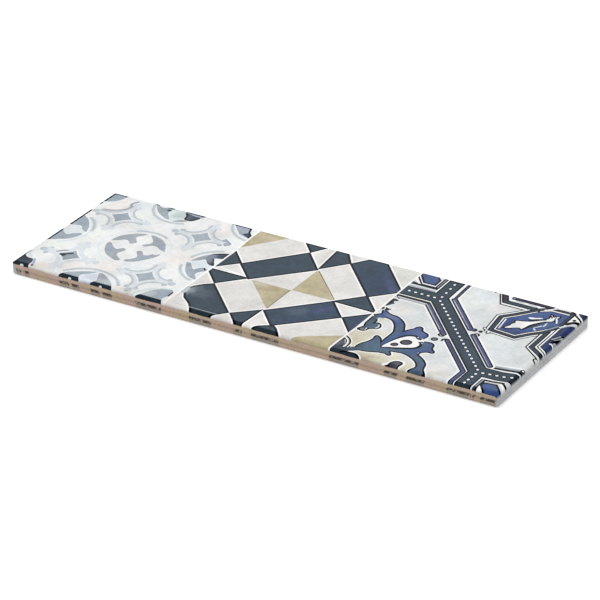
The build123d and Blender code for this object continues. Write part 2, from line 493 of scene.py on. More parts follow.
def quilt_field():
    """Slate and gold patches on a pale ground, set on the diagonal, with white seams beside the slate."""
    field = FieldPrint("chalk")
    slate_patches = [
        ("slate", [(-14.6, 39.3), (-0.1, 23.6), (-27, -4.2), (-40.5, 9.4)]),
        ("blue_slate", [(-0.9, -30.6), (25.9, -3.3), (39.1, -17.3), (11.5, -43.5)]),
        ("blue_slate", [(11.4, 38.6), (20.6, 52), (26, 52), (52, 23.8), (52, 23.4), (39, 9.6)]),
        ("slate", [(-40, -17.6), (-44.3, -20.9), (-47.6, -24.9), (-49.5, -28.5), (-48.8, -33.4),
                   (-45.5, -38.7), (-39.2, -43.9), (-36.1, -47.7), (-33.8, -52), (-24.1, -52),
                   (-15.4, -41.9)]),
        ("slate", [(-3.1, 52), (2, 52), (11.4, 39.3), (-0.5, 24.7)]),
        ("slate", [(-25.7, 52), (-7, 52), (-14.4, 39.6)]),
        ("slate", [(-52, 22.5), (-40.3, 10.3), (-52, -1.7)]),
        ("slate", [(-52, -3), (-27.2, -3), (-40.2, -17), (-52, -4.9)]),
        ("slate", [(25.4, -3.5), (38.4, 10.8), (52.4, -4)]),
        ("blue_slate", [(52, -4.6), (39.2, -17), (52, -31)]),
        ("slate", [(-14.6, -42), (-1.6, -30.4), (-2.8, -52), (-5, -52)]),
        ("slate", [(2.4, -52), (5.6, -47.1), (10.4, -43.8), (13.4, -42.8), (15.9, -44.8), (21.8, -52)]),
    ]
    gold_patches = [
        [(-52, 52), (-31, 52), (-51.5, 25)],
        [(0, 23.6), (0, -3.4), (26, -3.2)],
        [(-25, -3.8), (-0.6, -3.8), (-0.6, -28.2)],
        [(26.6, -52), (29.6, -47.4), (34, -43.6), (40, -40.2), (52, -32.6), (52, -52)],
    ]
    for patch in gold_patches:
        field.fill("gold", patch)
    for stroke in (
        ("umber", [(0.6, 23.4), (26, -2.4)], 0.7), ("umber", [(-0.6, -4), (-0.6, -28)], 0.7),
        ("bright", [(-52, 1.4), (-30, -2.6)], 0.8),
    ):
        field.line(*stroke)
    white_seam, dark_seam, dark_edge = 2.6, 0.7, 0.9
    for _, patch in slate_patches:
        field.line("bright", patch, white_seam, closed=True)
    for _, patch in slate_patches:
        field.line("outline", patch, dark_seam, closed=True)
        field.fill("outline", patch)
    for ink, patch in slate_patches:
        field.fill(ink, inset(patch, dark_edge))
    # Painted highlight: a thin pale line along the front arris where the glaze turns down, standing in for
    # the glaze's reflection there.
    field.line("haze", [(-46, -46.7), (-19.6, -46.7)], 0.35)
    field.leaf("haze", [(-50.6, -27.0), (-49.0, -27.2), (-47.8, -30.0), (-47.7, -33.0), (-48.6, -35.0),
                        (-50.4, -34.0)])
    for wash in (
        ("slate", "worn_slate", -49.4, -30, 7, 6, 0, 1.0),
        ("slate", "worn_slate", -41, -30, 10, 8, 0, 0.18),
        ("blue_slate", "worn_slate", 15, -23, 9, 6, 45, 0.14),
        ("blue_slate", "deep_slate", 22, 40, 12, 7, -45, 0.25),
        ("slate", "worn_slate", -47, -23, 10, 3, -40, 0.25),
        ("slate", "blue_slate", -20, 18, 16, 7, 45, 0.4), ("blue_slate", "indigo", 44, 26, 16, 3, -45, 0.8),
        ("blue_slate", "slate", 20, 42, 14, 8, -45, 0.8), ("blue_slate", "slate", 8, -32, 10, 8, 45, 0.7),
        ("blue_slate", "indigo", 27, -14, 8, 4, 45, 0.5), ("chalk", "mist", 46, 44, 12, 12, 0, 0.5),
        ("chalk", "cream", 46, 44, 12, 12, 0, 0.4), ("chalk", "ice", 45, -12, 9, 6, 0, 0.4),
        ("chalk", "sand", -48, 36, 9, 4, 50, 0.3), ("gold", "sand", -44, 45, 8, 8, 0, 0.8),
        ("gold", "sand", 38, -46, 8, 6, 0, 0.4), ("gold", "umber", -10, -8, 6, 4, 0, 0.18),
        ("gold", "cream", -19, -5.5, 7, 4, 0, 0.5), ("gold", "cream", 20, -1, 5, 3, 0, 0.2),
        ("gold", "umber", 4, 10, 5, 9, 0, 0.15), ("gold", "umber", -49, 30, 6, 4, 0, 0.35),
        ("gold", "umber", 42, -50, 14, 5, 0, 0.3),
    ):
        field.wash(*wash)
    return field


# The scroll field: a beaded strap across the corner, an acanthus scroll below it and a medallion above

STRAP_RUN = ((72.9, 27.2), (128.7, -32.6))


def beside_strap(offset, start, end):
    """A stretch of the line that runs beside the strap's diagonal, between two distances along it."""
    top, foot = np.array(STRAP_RUN)
    way = (foot - top) / np.linalg.norm(foot - top)
    return top + np.outer((start, end), way) + offset * np.array([-way[1], way[0]])


def lay_strap(field):
    """Dark strap with a row of white beads, striped on both sides."""
    arms = [
        ([(48, 26.75), *STRAP_RUN], 10.3),
        ([(128.7, -32.6), (141.0, -32.4), (147.3, -31.0), (153, -31.6)], 9.8),
        ([(72.25, 53), (72.85, 27.2)], 9.3),
        ([(129.2, -32.6), (129.3, -53)], 9.5),
    ]
    stripes = [
        ([(79.5, 53), (79.9, 42), (80.5, 30.2)], 2.1),
        (beside_strap(7.58, 3.2, 37.6), 3.65),
        (beside_strap(7.36, 44.2, 78.8), 3.5),
        (beside_strap(-7.4, 4.0, 39.6), 3.5),
        (beside_strap(-7.24, 46.6, 80.4), 3.1),
        ([(122.75, -36.9), (122.55, -45), (122.3, -53)], 3.1),
    ]
    bead_rows = [
        ((54.6, 27.2), (70.1, 27.0), 5),
        ((72.3, 45.0), (73.3, 29.4), 4),
        ((74.8, 24.9), (128.3, -31.6), 20),
        ((129.6, -36.0), (129.0, -46.7), 4),
        ((132.3, -33.5), (143.6, -31.8), 4),
        ((147.4, -30.5), (150.6, -29.9), 2),
    ]
    for stroke in (
        ("bright", [(133.6, -22.8), (141, -21.3), (146.6, -20.0), (153, -20.6)], 1.0),
        ("haze", [(133.0, -24.2), (141, -22.8), (146.8, -21.6), (153, -22.2)], 1.7),
        ("worn_slate", [(133.0, -25.0), (141, -23.7), (147, -22.5), (153, -23.2)], 1.3),
        ("outline", [(132.4, -26.5), (141, -25.1), (147, -23.8), (153, -25.0)], 1.7),
    ):
        field.line(*stroke)
    white_seam, white_edge, dark_edge, stripe_edge = 1.9, 1.4, 1.8, 1.5
    for stripe, width in stripes:
        field.line("bright", stripe, width + white_seam, round_ends=True)
    for ink, spare in (("bright", white_edge), ("outline", 0.0), ("slate", -dark_edge)):
        for arm, width in arms:
            field.line(ink, arm, width + spare, round_ends=True)
    field.line("dove", [(50, 32.75), (67.4, 32.75)], 1.2)
    for stripe, width in stripes:
        field.line("outline", stripe, width, round_ends=True)
    field.dot("outline", 106.0, 5.2, 1.8)
    field.dot("periwinkle", 105.6, 5.2, 0.9)
    for stripe, width in stripes:
        field.line("periwinkle", stripe, width - stripe_edge, round_ends=True)
    for stroke in (
        ("haze", beside_strap(7.0, 4.0, 24.0), 0.5), ("lavender", beside_strap(7.0, 24.0, 37.0), 0.45),
        ("lavender", beside_strap(6.9, 45.0, 78.0), 0.4), ("haze", beside_strap(-7.95, 3.6, 34.0), 0.5),
    ):
        field.line(*stroke)
    for ink, y, width in (
        ("bright", 16.0, 1.0), ("dove", 17.5, 1.3), ("mist", 18.6, 1.2), ("outline", 19.95, 2.1),
    ):
        field.line(ink, [(48, y), (69.4 + 0.4 * (y - 16), y)], width)
    hooks = [
        ([(108.3, 1.5), (109.6, 2.3), (110.8, 1.7), (111.1, 0.6)], 1.1),
        ([(92.3, -7.4), (92.6, -8.6), (94.0, -9.3), (95.4, -8.7)], 1.1),
        ([(97.1, -13.1), (97.0, -12.0), (97.9, -11.0), (99.4, -10.6)], 1.4),
        ([(51.6, 20.6), (52.4, 18.6), (54.4, 16.6)], 0.8),
    ]
    for path, width in hooks:
        field.curl("outline", path, width)
    field.dot("cream", 53.4, 18.4, 0.8)
    for start, end, count in bead_rows:
        way = np.degrees(math.atan2(end[1] - start[1], end[0] - start[0]))
        for x, y in np.linspace(start, end, count):
            field.dot("outline", x, y, 1.15, 1.3, way)
            field.dot("bright", x, y, 0.7, 1.3, way)
    for x, y, size, ink, core in ((93.0, -13.8, 2.0, "plum", 1.2), (109.8, 5.3, 1.25, "plum", 0.4),
                                  (149.0, -21.3, 1.3, "bright", 0.6)):
        field.dot("outline", x, y, size)
        field.dot(ink, x, y, core)
    for wash in (
        ("periwinkle", "slate", 111, -26, 12, 6, -47, 0.8),
        ("periwinkle", "worn_slate", 76, 13, 7, 4, -47, 0.4),
        ("periwinkle", "indigo", 122, -45, 4, 10, 0, 0.4), ("slate", "blue_slate", 100, 0, 14, 5, -47, 0.4),
        ("slate", "teal", 118, -20, 14, 5, -47, 0.25), ("plum", "dove", 93, -13.8, 3, 3, 0, 0.35),
    ):
        field.wash(*wash)


def lay_outlined_leaves(field, leaves):
    """Leaves that merge into one form, with a dark line inside its edge and a white seam round the whole."""
    dark_edge, dark_line, white_seam = 0.6, 2.1, 3.5
    lines = [(ink, inset(smooth_line(leaf, closed=True), dark_edge)) for ink, leaf in leaves]
    for halo, width in (("bright", white_seam), ("outline", dark_line)):
        for _, line in lines:
            field.line(halo, line, width, closed=True)
    for ink, line in lines:
        field.fill(ink, line)


def lay_scroll(field):
    """Acanthus scroll that grows out of the lower left corner, on a cream ground."""
    field.leaf("cream", [(56.5, -9.5), (60, -6.6), (63, -7.0), (66, -10), (68.5, -14), (70, -19), (70, -27),
                         (66, -30), (64, -36), (62, -41), (59, -44), (56, -40), (52.2, -33), (51.6, -24),
                         (57, -20)])
    field.leaf("cream", [(61, -46.6), (68.6, -43.2), (75.4, -40.4), (81, -39), (82, -36), (88.4, -36.0),
                         (92, -37.6), (96, -40), (98.6, -43.4), (99, -46), (97.4, -53), (70, -54),
                         (64, -50)])
    sweep = [(55.4, 3.5), (56.2, 1.2), (58.0, -0.3), (60.6, -1.2), (63.2, -1.4), (65.9, -2.5), (69.2, -4.8),
             (71.9, -7.8), (73.8, -11.5), (75.0, -14.2), (75.0, -19.0), (73.8, -25.0), (73.0, -33.0),
             (71.0, -32.4), (70.5, -27.0), (70.6, -18.6), (69.6, -15.2), (67.8, -11.5), (65.5, -8.5),
             (62.9, -6.4), (60.2, -5.8), (57.6, -6.2), (55.2, -8.4), (53.2, -7.0), (53.4, -4.4),
             (54.9, -2.4), (53.9, 0.6)]
    volute = [(53.2, -4.8), (56.4, -6.0), (55.8, -8.8), (57.0, -11.6), (56.8, -13.8), (58.8, -12.7),
              (61.0, -14.1), (62.2, -16.5), (61.4, -18.8), (58.8, -20.0), (57.3, -21.8), (56.4, -23.9),
              (53.8, -24.2), (52.6, -22.8), (53.9, -19.2), (53.0, -16.5), (52.7, -11.5), (52.7, -6.6)]
    upper_leaf = [(74.9, -14.2), (77.0, -10.6), (78.3, -8.9), (78.7, -7.0), (80.1, -5.6), (82.0, -6.6),
                  (83.2, -8.9), (85.1, -9.9), (87.4, -11.0), (88.7, -13.3), (88.1, -15.9), (86.4, -18.0),
                  (85.1, -17.0), (83.6, -15.7), (80.9, -16.1), (78.6, -17.6), (76.4, -21.0), (74.8, -26.0),
                  (73.4, -33.0), (71.6, -28.0), (72.4, -20.0)]
    right_leaf = [(88.0, -20.2), (90.0, -19.1), (92.6, -18.3), (94.9, -18.7), (96.4, -20.3), (97.1, -22.9),
                  (98.1, -24.6), (99.4, -25.5), (100.2, -27.3), (99.2, -28.1), (97.0, -28.2), (94.9, -29.6),
                  (93.6, -31.4), (94.1, -33.0), (88.0, -35.0), (79.0, -36.6), (73.0, -36.4), (74.0, -34.5),
                  (81.0, -32.4), (86.8, -29.4), (89.6, -27.3), (90.6, -24.4), (90.0, -22.0), (88.6, -20.9)]
    lower_arc = [(80.0, -33.2), (88.0, -31.8), (93.0, -32.5), (96.8, -34.5), (99.8, -36.8), (102.4, -39.8),
                 (103.5, -42.8), (104.3, -45.4), (105.8, -47.6), (107.6, -50.2), (108.4, -54.0),
                 (97.0, -54.0), (97.3, -50.6), (98.4, -48.0), (99.4, -45.4), (98.6, -42.8), (96.0, -39.8),
                 (92.2, -37.4), (88.5, -36.0), (84.8, -35.5), (81.2, -36.2), (79.8, -37.0), (80.9, -38.4),
                 (81.9, -40.1), (81.1, -41.2), (78.6, -40.2), (75.2, -40.4), (73.0, -37.0)]
    stem = [(64.7, -26.4), (65.2, -25.2), (66.4, -25.3), (68.4, -26.7), (70.0, -29.0), (73.0, -33.6),
            (76.0, -36.0), (76.0, -39.8), (72.2, -41.8), (68.5, -43.1), (64.8, -43.8), (61.4, -46.0),
            (58.8, -44.2), (60.3, -42.8), (61.7, -41.5), (61.6, -39.4), (62.6, -36.0), (64.4, -32.6),
            (65.1, -29.0)]
    lay_outlined_leaves(field, [
        ("cobalt", sweep), ("teal", volute), ("cobalt", upper_leaf), ("cobalt", right_leaf),
        ("teal", lower_arc),
        ("teal", stem),
    ])
    drop = [(73.3, -34.2), (74.7, -27.5), (76.7, -22.4), (78.9, -18.9), (81.0, -17.2), (83.4, -16.9),
            (85.0, -18.4), (87.4, -20.9), (89.0, -22.5), (89.4, -24.5), (88.4, -26.9), (86.2, -28.5),
            (81.0, -31.2), (76.6, -33.0)]
    field.curl("outline", drop, 1.7, closed=True)
    field.leaf("bright", drop)
    field.leaf("bright", [(84.0, -17.6), (86.2, -18.6), (89.4, -18.0), (89.0, -19.6), (87.0, -20.6),
                          (84.8, -19.6)])
    for x, y, size, core in ((82.1, -24.2, 2.95, 2.2), (77.9, -29.1, 1.95, 1.2)):
        field.dot("outline", x, y, size, 1.12, 30)
        field.dot("plum", x, y, core, 1.12, 30)
    field.wash("plum", "dove", 82.1, -24.6, 4, 3, 0, 0.15)
    field.wash("plum", "dove", 77.9, -29.1, 3, 3, 0, 0.15)
    field.leaf("slate", [(50.6, -43.0), (54.0, -44.0), (57.6, -44.0), (59.6, -43.4), (61.4, -42.0),
                         (63.6, -43.2), (61.8, -46.0), (60.8, -47.6), (58.0, -50.0), (51, -55)])
    field.leaf("deep_slate", [(55.6, -50.6), (60.4, -48.6), (64.6, -48.2), (67.6, -49.6), (69.6, -54.0),
                              (56, -55)])
    field.leaf("plum", [(51.2, -36.2), (53.2, -37.6), (54.8, -40.4), (55.2, -42.6), (54.6, -45.6),
                        (51.2, -45.6)])
    strokes = [
        ("worn_slate", [(55.7, -8.9), (56.4, -7.4), (58.2, -6.8)], 1.1),
        ("outline", [(55.8, -9.4), (57.2, -11.5)], 0.9),
        ("mist", [(60.3, -14.6), (61.0, -16.4), (60.6, -18.4)], 0.8),
        ("outline", [(57.2, -13.6), (58.9, -12.8), (61.0, -13.9), (62.0, -16.3), (61.6, -18.5)], 0.9),
        ("outline", [(57.0, -20.2), (57.4, -22.6), (56.0, -24.0)], 0.8),
        ("mist", [(56.4, -20.6), (56.5, -22.4)], 0.7),
        ("outline", [(52.6, -23.0), (53.4, -23.8)], 1.6), ("outline", [(52.5, 3.8), (52.6, 2.4)], 1.2),
        ("bright", [(51.8, -32.4), (55.0, -34.5), (57.2, -37.4), (58.3, -40.6), (58.5, -42.8)], 0.7),
        ("outline", [(51.6, -33.2), (54.4, -35.0), (56.5, -37.6), (57.5, -40.4), (57.6, -43.8)], 1.0),
        ("bright", [(52.4, -34.9), (54.6, -37.0), (55.9, -39.6), (56.3, -42.0), (56.3, -44.2)], 0.6),
        ("outline", [(51.8, -35.6), (54.0, -37.4), (55.2, -39.8), (55.6, -42.2), (55.4, -44.0)], 0.7),
        ("outline", [(57.6, -49.0), (61.0, -48.2), (65.0, -47.9), (68.0, -49.4), (70.6, -52.4)], 1.0),
        ("bright", [(61.4, -47.1), (64.6, -46.8), (67.6, -48.0), (70.6, -50.8)], 0.7),
    ]
    for ink, path, width in strokes:
        field.curl(ink, path, width)
    for wash in (
        ("slate", "deep_slate", 55, -50, 8, 4, 0, 0.7), ("slate", "teal", 61.6, -43.6, 3, 2, 0, 0.5),
        ("teal", "slate", 63.4, -40, 3, 5, 0, 0.5), ("teal", "slate", 54, -8, 3, 6, 0, 0.5),
        ("teal", "slate", 56.5, -15, 5, 6, 0, 0.35), ("teal", "plum", 54.6, -20.6, 2, 3, 0, 0.5),
        ("teal", "worn_slate", 55, -23.2, 3, 2, 0, 0.5), ("plum", "worn_slate", 52.6, -41, 3, 5, 0, 0.25),
    ):
        field.wash(*wash)
    bud = [(85.7, -47.0), (86.9, -44.8), (89.3, -43.6), (91.8, -44.4), (92.5, -46.6), (91.8, -49.4),
           (91.4, -54.0), (84.6, -54.0), (83.0, -51.4), (83.6, -49.9), (85.4, -49.2)]
    field.curl("bright", bud, 2.4, closed=True)
    field.leaf("outline", bud)
    field.leaf("plum", [(86.5, -47.0), (87.5, -45.4), (89.3, -44.4), (90.8, -45.0), (91.2, -46.8),
                        (90.8, -50.4), (89.6, -54.0), (87.4, -54.0), (86.6, -49.6)])
    field.wash("plum", "worn_slate", 89.2, -47.6, 3, 4, 0, 0.3)
    for x, y, size in ((94.6, -50.6, 0.9), (96.9, -51.0, 0.8), (106.2, -49.9, 0.7)):
        field.dot("outline", x, y, size)
    field.leaf("plum", [(51.8, 15.9), (54.3, 14.7), (53.8, 12.4), (54.6, 10.2), (53.4, 7.2), (52.0, 6.2)])
    for x, y, size in (
        (54.4, 14.2, 0.9), (54.4, 10.4, 0.8), (52.5, 11.0, 0.8), (52.6, 2.9, 0.9), (53.6, 17.6, 0.8),
    ):
        field.dot("outline", x, y, size)
    for wash in (
        ("teal", "indigo", 101, -44, 9, 3, -65, 0.5), ("teal", "cobalt", 88, -33, 9, 4, 10, 0.5),
        ("teal", "indigo", 66, -31, 3, 6, 0, 0.5), ("teal", "blue_slate", 103, -50, 6, 3, 0, 0.4),
        ("cobalt", "teal", 84, -34, 12, 4, 10, 0.8), ("cobalt", "teal", 92, -23, 5, 8, 0, 0.7),
        ("cobalt", "teal", 71.5, -15, 4, 12, 10, 0.8), ("cobalt", "lavender", 62, -3.4, 8, 3, -20, 0.25),
        ("cobalt", "lavender", 82, -12, 7, 6, 0, 0.14), ("cobalt", "periwinkle", 98, -26, 4, 4, 0, 0.8),
        ("cream", "milk", 65, -13, 9, 12, 0, 0.9), ("cream", "sand", 56, -33, 8, 9, 0, 0.35),
        ("cream", "sand", 71, -49, 12, 5, 0, 0.8), ("cream", "milk", 92, -40, 10, 4, -20, 0.8),
        ("cream", "umber", 73, -50, 14, 7, 0, 0.32),
    ):
        field.wash(*wash)


def lay_corner_panels(field):
    """Blue panels that the strap cuts off in two corners, in frames of thin lines."""
    field.fill("mist", [(50, 35.5), (66.6, 35.3), (68.2, 31), (50, 31)])
    for stroke in (
        ("haze", [(50, 32.9), (67, 32.9)], 1.3), ("outline", [(65.9, 53), (65.85, 36.3), (49, 36.25)], 2.6),
        ("worn_slate", [(65.9, 53), (65.85, 37.8)], 0.6), ("bright", [(67.6, 53), (68.0, 32.4)], 1.0),
        ("bright", [(59.2, 50.6), (64.0, 46.0), (64.2, 38.2), (56.3, 38.2), (49.4, 47.4)], 0.9),
        ("outline", [(56.6, 36.9), (49.0, 46.4)], 1.0),
    ):
        field.line(*stroke)
    field.fill("bright", [(50.6, 43.4), (53.2, 40.0), (56.2, 36.9), (54.4, 36.9), (50.6, 41.0)])
    field.fill("plum", [(50.6, 38.2), (53.0, 37.6), (54.0, 35.8), (50.6, 35.6)])
    upper = [(48.0, 50.4), (58.6, 50.4), (63.5, 45.8), (63.7, 39.2), (56.6, 39.2)]
    for stroke in (
        ("outline", [(136.4, -53), (136.7, -39.6), (141.0, -39.1), (147.2, -37.8)], 1.6),
        ("worn_slate", [(135.3, -53), (135.7, -39.0)], 1.3), ("slate", [(134.9, -53), (135.1, -39.0)], 0.7),
        ("mist", [(133.6, -38.4), (141.0, -37.3), (147.3, -36.0), (153, -37.4)], 1.5),
        ("haze", [(138.4, -41.2), (144.6, -40.2)], 0.8),
    ):
        field.line(*stroke)
    field.fill("bright", [(137.0, -45.4), (142.4, -52.0), (137.6, -52.0)])
    field.fill("bright", [(145.2, -39.4), (147.6, -39.0), (152.0, -44.4), (152.0, -47.6)])
    field.line("outline", [(146.6, -38.3), (152.0, -43.2)], 1.3)
    lower = [(137.1, -44.8), (137.9, -41.9), (144.6, -41.0), (151.0, -48.4), (151.0, -54.0), (144.4, -54.0)]
    dark_seam, dark_edge = 0.8, 0.7
    for panel in (upper, lower):
        field.line("outline", panel, dark_seam, closed=True)
        field.fill("outline", panel)
        field.fill("cobalt", inset(panel, dark_edge))
    for wash in (
        ("cobalt", "teal", 56, 44.5, 4, 5, 0, 0.6), ("cobalt", "periwinkle", 61, 43, 3, 5, 0, 0.6),
        ("cobalt", "teal", 145, -44, 4, 3, -50, 0.7), ("cobalt", "navy", 146, -50, 7, 5, 0, 0.8),
    ):
        field.wash(*wash)


def lay_medallion(field):
    """Six-sided blue medallion with a pale leaf, and the strapwork that frames it."""
    rim = [(111.0, 25.5), (116.0, 31.0), (120.4, 36.6), (124.8, 42.2), (130.4, 46.0), (142.8, 46.2),
           (142.6, 29.5), (138.8, 21.2), (133.0, 15.0), (127.9, 8.4), (113.1, 9.8)]
    field.line("outline", [(98.3, 48.0), (103.9, 37.65), (118.0, 37.65)], 0.85)
    for ink, width in (("slate", 6.2), ("bright", 4.7)):
        field.line(ink, rim, width, closed=True)
    for stroke in (
        ("bright", [(99.2, 49.0), (104.3, 38.9), (119.0, 38.9)], 1.1),
        ("outline", [(100.1, 50.4), (104.9, 41.45), (126.0, 41.5)], 3.8),
        ("slate", [(100.1, 50.4), (104.9, 41.45), (125.0, 41.5)], 1.8),
        ("bright", [(103.2, 50.0), (106.4, 44.6), (129.6, 44.6)], 1.4),
        ("plum", [(100.3, 50.0), (104.4, 42.4)], 1.6), ("plum", [(106.2, 47.7), (131.0, 47.7)], 4.4),
        ("outline", [(106.6, 46.0), (131.0, 46.0)], 0.8), ("indigo", [(107.0, 48.0), (118.0, 48.0)], 1.0),
        ("lavender", [(118.4, 48.5), (126.0, 48.5)], 1.2),
    ):
        field.line(*stroke)
    for path in (
        [(107.2, 46.9), (108.6, 48.8)], [(109.4, 44.8), (114.0, 44.6)], [(117.0, 44.7), (121.6, 44.6)],
    ):
        field.curl("lavender", path, 0.7)
    for stroke in (
        ("outline", [(137.7, 18.0), (137.9, 2.2), (149.4, -7.0)], 0.85),
        ("bright", [(138.5, 20.4), (138.7, 2.7), (152.0, -7.0)], 0.8),
        ("outline", [(140.4, 23.0), (140.6, 3.4), (153.0, -5.4)], 3.1),
        ("slate", [(140.3, 22.0), (140.5, 3.3), (153.0, -5.6)], 1.6),
        ("bright", [(142.25, 28.6), (142.45, 4.7), (153.0, -3.0)], 0.8),
        ("outline", [(143.0, 29.4), (143.15, 5.1), (153.0, -2.0)], 0.75),
        ("bright", [(143.7, 30.2), (143.95, 5.5), (149.8, 1.2)], 0.8),
    ):
        field.line(*stroke)
    field.line("outline", rim, 3.0, closed=True)
    field.line("slate", rim, 1.1, closed=True)
    field.fill("outline", inset(rim, 2.15))
    field.fill("cobalt", inset(rim, 2.7))
    for stroke in (
        ("navy", [(112.1, 22.0), (113.6, 12.0)], 0.5),
        ("cobalt", [(140.9, 44.0), (140.8, 29.0), (138.6, 24.4)], 1.7),
        ("lavender", [(142.6, 31.4), (140.2, 26.6), (137.6, 22.6)], 0.8),
        ("bright", [(130.4, 44.4), (141.4, 44.6)], 0.9), ("outline", [(131.4, 43.4), (141.0, 43.5)], 0.5),
        ("bright", [(114.5, 24.6), (116.0, 13.4)], 0.7),
        ("bright", [(127.4, 42.9), (129.6, 44.5), (131.6, 47.0), (135.6, 50.0)], 1.0),
        ("outline", [(142.9, 48.4), (142.8, 30.8)], 2.4), ("slate", [(142.6, 46.0), (142.5, 31.6)], 1.2),
    ):
        field.line(*stroke)
    field.fill("outline", [(144.2, 30.6), (147.0, 34.0), (152.0, 36.4), (152.0, 0.4), (144.3, 5.8)])
    field.fill("navy", [(144.6, 30.0), (147.2, 33.4), (152.0, 35.8), (152.0, 1.4), (144.6, 6.4)])
    field.fill("outline", [(147.6, 21.4), (152.0, 23.6), (152.0, 13.4), (148.0, 12.6), (146.2, 11.6),
                           (146.4, 14.6)])
    right_strokes = [
        ("haze", [(149.6, 12.4), (151.4, 11.2)], 2.4),
        ("bright", [(147.3, 11.2), (149.2, 10.2), (151.0, 8.2)], 1.1),
        ("slate", [(148.0, 10.0), (149.6, 8.4), (151.2, 4.6)], 1.1),
        ("haze", [(145.8, 16.2), (147.3, 18.3), (148.3, 21.0)], 0.9),
        ("haze", [(147.6, 15.8), (149.1, 18.6), (150.6, 22.6)], 0.9),
        ("outline", [(146.2, 15.0), (147.9, 17.4), (149.0, 20.6)], 0.7),
        ("plum", [(147.2, 33.0), (149.2, 34.4), (151.4, 34.8)], 1.2),
        ("mint", [(143.6, 30.0), (146.4, 33.8), (150.6, 36.4)], 1.6),
        ("haze", [(146.0, 32.8), (150.6, 35.4)], 0.6),
    ]
    for ink, path, width in right_strokes:
        field.curl(ink, path, width)
    field.fill("bright", [(144.4, 44.8), (149.6, 40.4), (147.4, 38.8), (144.6, 35.6)])
    field.curl("outline", [(144.7, 34.8), (146.8, 37.4), (149.2, 38.6), (152.0, 39.0)], 2.6)
    field.dot("outline", 146.4, 40.3, 1.1)
    field.fill("navy", [(143.4, 52.0), (152.0, 52.0), (152.0, 41.4), (146.6, 45.8)])
    field.line("bright", [(142.6, 49.4), (146.2, 45.7), (152.0, 41.0)], 0.9)
    field.line("outline", [(140.6, 48.8), (144.8, 45.2), (152.0, 39.6)], 1.2)
    pale_leaf = [(118.2, 15.8), (119.6, 18.6), (119.8, 21.0), (120.7, 23.2), (120.2, 25.1), (123.6, 26.3),
                 (127.4, 28.2), (130.8, 31.2), (133.0, 33.8), (134.2, 36.2), (133.4, 40.0), (135.4, 38.0),
                 (137.8, 40.2), (137.4, 36.4), (136.4, 33.6), (134.1, 32.0), (131.9, 29.8), (129.6, 26.8),
                 (128.1, 24.0), (127.4, 21.0), (126.6, 18.6), (125.1, 19.2), (122.4, 17.8), (120.4, 16.4)]
    field.curl("outline", pale_leaf, 1.9, closed=True)
    field.leaf("bright", pale_leaf)
    field.curl("outline", [(125.8, 29.4), (129.4, 31.2), (132.8, 33.6)], 1.5)
    field.leaf("bright", [(123.9, 31.6), (125.9, 30.6), (128.2, 32.0), (131.2, 33.9), (129.8, 34.4),
                          (127.6, 33.0), (125.6, 32.6)])
    leaf_strokes = [
        ("outline", [(134.2, 31.4), (131.8, 28.6), (129.6, 24.6), (128.4, 21.0), (127.4, 18.6)], 1.6),
        ("slate", [(133.2, 29.0), (131.4, 25.0), (130.6, 22.0)], 1.3),
        ("mist", [(135.3, 30.4), (135.5, 28.4), (135.4, 26.6)], 0.8),
        ("mist", [(134.3, 26.4), (133.0, 24.4), (132.0, 22.6), (133.4, 20.6)], 0.9),
        ("outline", [(134.0, 24.4), (132.4, 22.6)], 0.7),
        ("bright", [(137.2, 37.6), (138.6, 35.4), (139.6, 33.2)], 0.9),
        ("outline", [(136.8, 38.6), (137.0, 36.0), (138.4, 33.2)], 0.6),
        ("outline", [(133.8, 38.8), (135.0, 37.0)], 0.8),
    ]
    for ink, path, width in leaf_strokes:
        field.curl(ink, path, width)
    field.curl("outline", [(109.9, 11.0), (109.0, 9.9), (109.9, 8.6), (110.9, 9.6)], 0.9)
    field.dot("bright", 109.9, 9.7, 0.7)
    field.curl("outline", [(112.4, 7.4), (113.2, 5.2), (114.8, 6.4)], 0.9)
    field.dot("bright", 113.4, 6.8, 0.7)
    field.curl("outline", [(148.4, -6.4), (147.8, -8.0), (149.0, -9.6), (151.0, -10.6)], 0.9)
    field.dot("outline", 95.3, 48.6, 0.8)
    for wash in (
        ("cobalt", "teal", 126, 37, 8, 4, 50, 0.3), ("cobalt", "navy", 118, 21, 4, 9, 0, 0.7),
        ("cobalt", "navy", 130, 15, 8, 4, 30, 0.6), ("cobalt", "teal", 138, 28, 3, 8, -20, 0.5),
        ("cobalt", "plum", 122, 14, 9, 3, -5, 0.45), ("bright", "cream", 122.6, 21.4, 5, 5, 0, 0.7),
        ("bright", "ice", 133, 35, 5, 5, 0, 0.6), ("bright", "mist", 122.6, 21.4, 5, 5, 0, 0.4),
        ("navy", "slate", 148, 5, 5, 5, 0, 0.5), ("navy", "plum", 147, 22, 6, 14, 0, 0.6),
        ("navy", "plum", 149, 47, 6, 6, 0, 0.9),
    ):
        field.wash(*wash)


def scroll_field():
    """Strap, scroll, medallion and corner panels of the third field."""
    field = FieldPrint("milk")
    lay_corner_panels(field)
    lay_scroll(field)
    lay_medallion(field)
    lay_strap(field)
    for toward, x, y, reach in (
        ("blush", 62, 6, 8), ("celadon", 90, 34, 12), ("blush", 104, 33, 8), ("celadon", 118, -12, 9),
        ("blush", 112, -42, 8), ("sand", 112, -50, 8), ("ice", 95, 40, 9), ("ice", 130, -8, 12),
        ("sand", 149, -14, 5),
    ):
        field.wash("milk", toward, x, y, reach, reach, 0, 0.5)
    return field


# The printed face: a plan cut along every outline, then raised over the cushioned arris

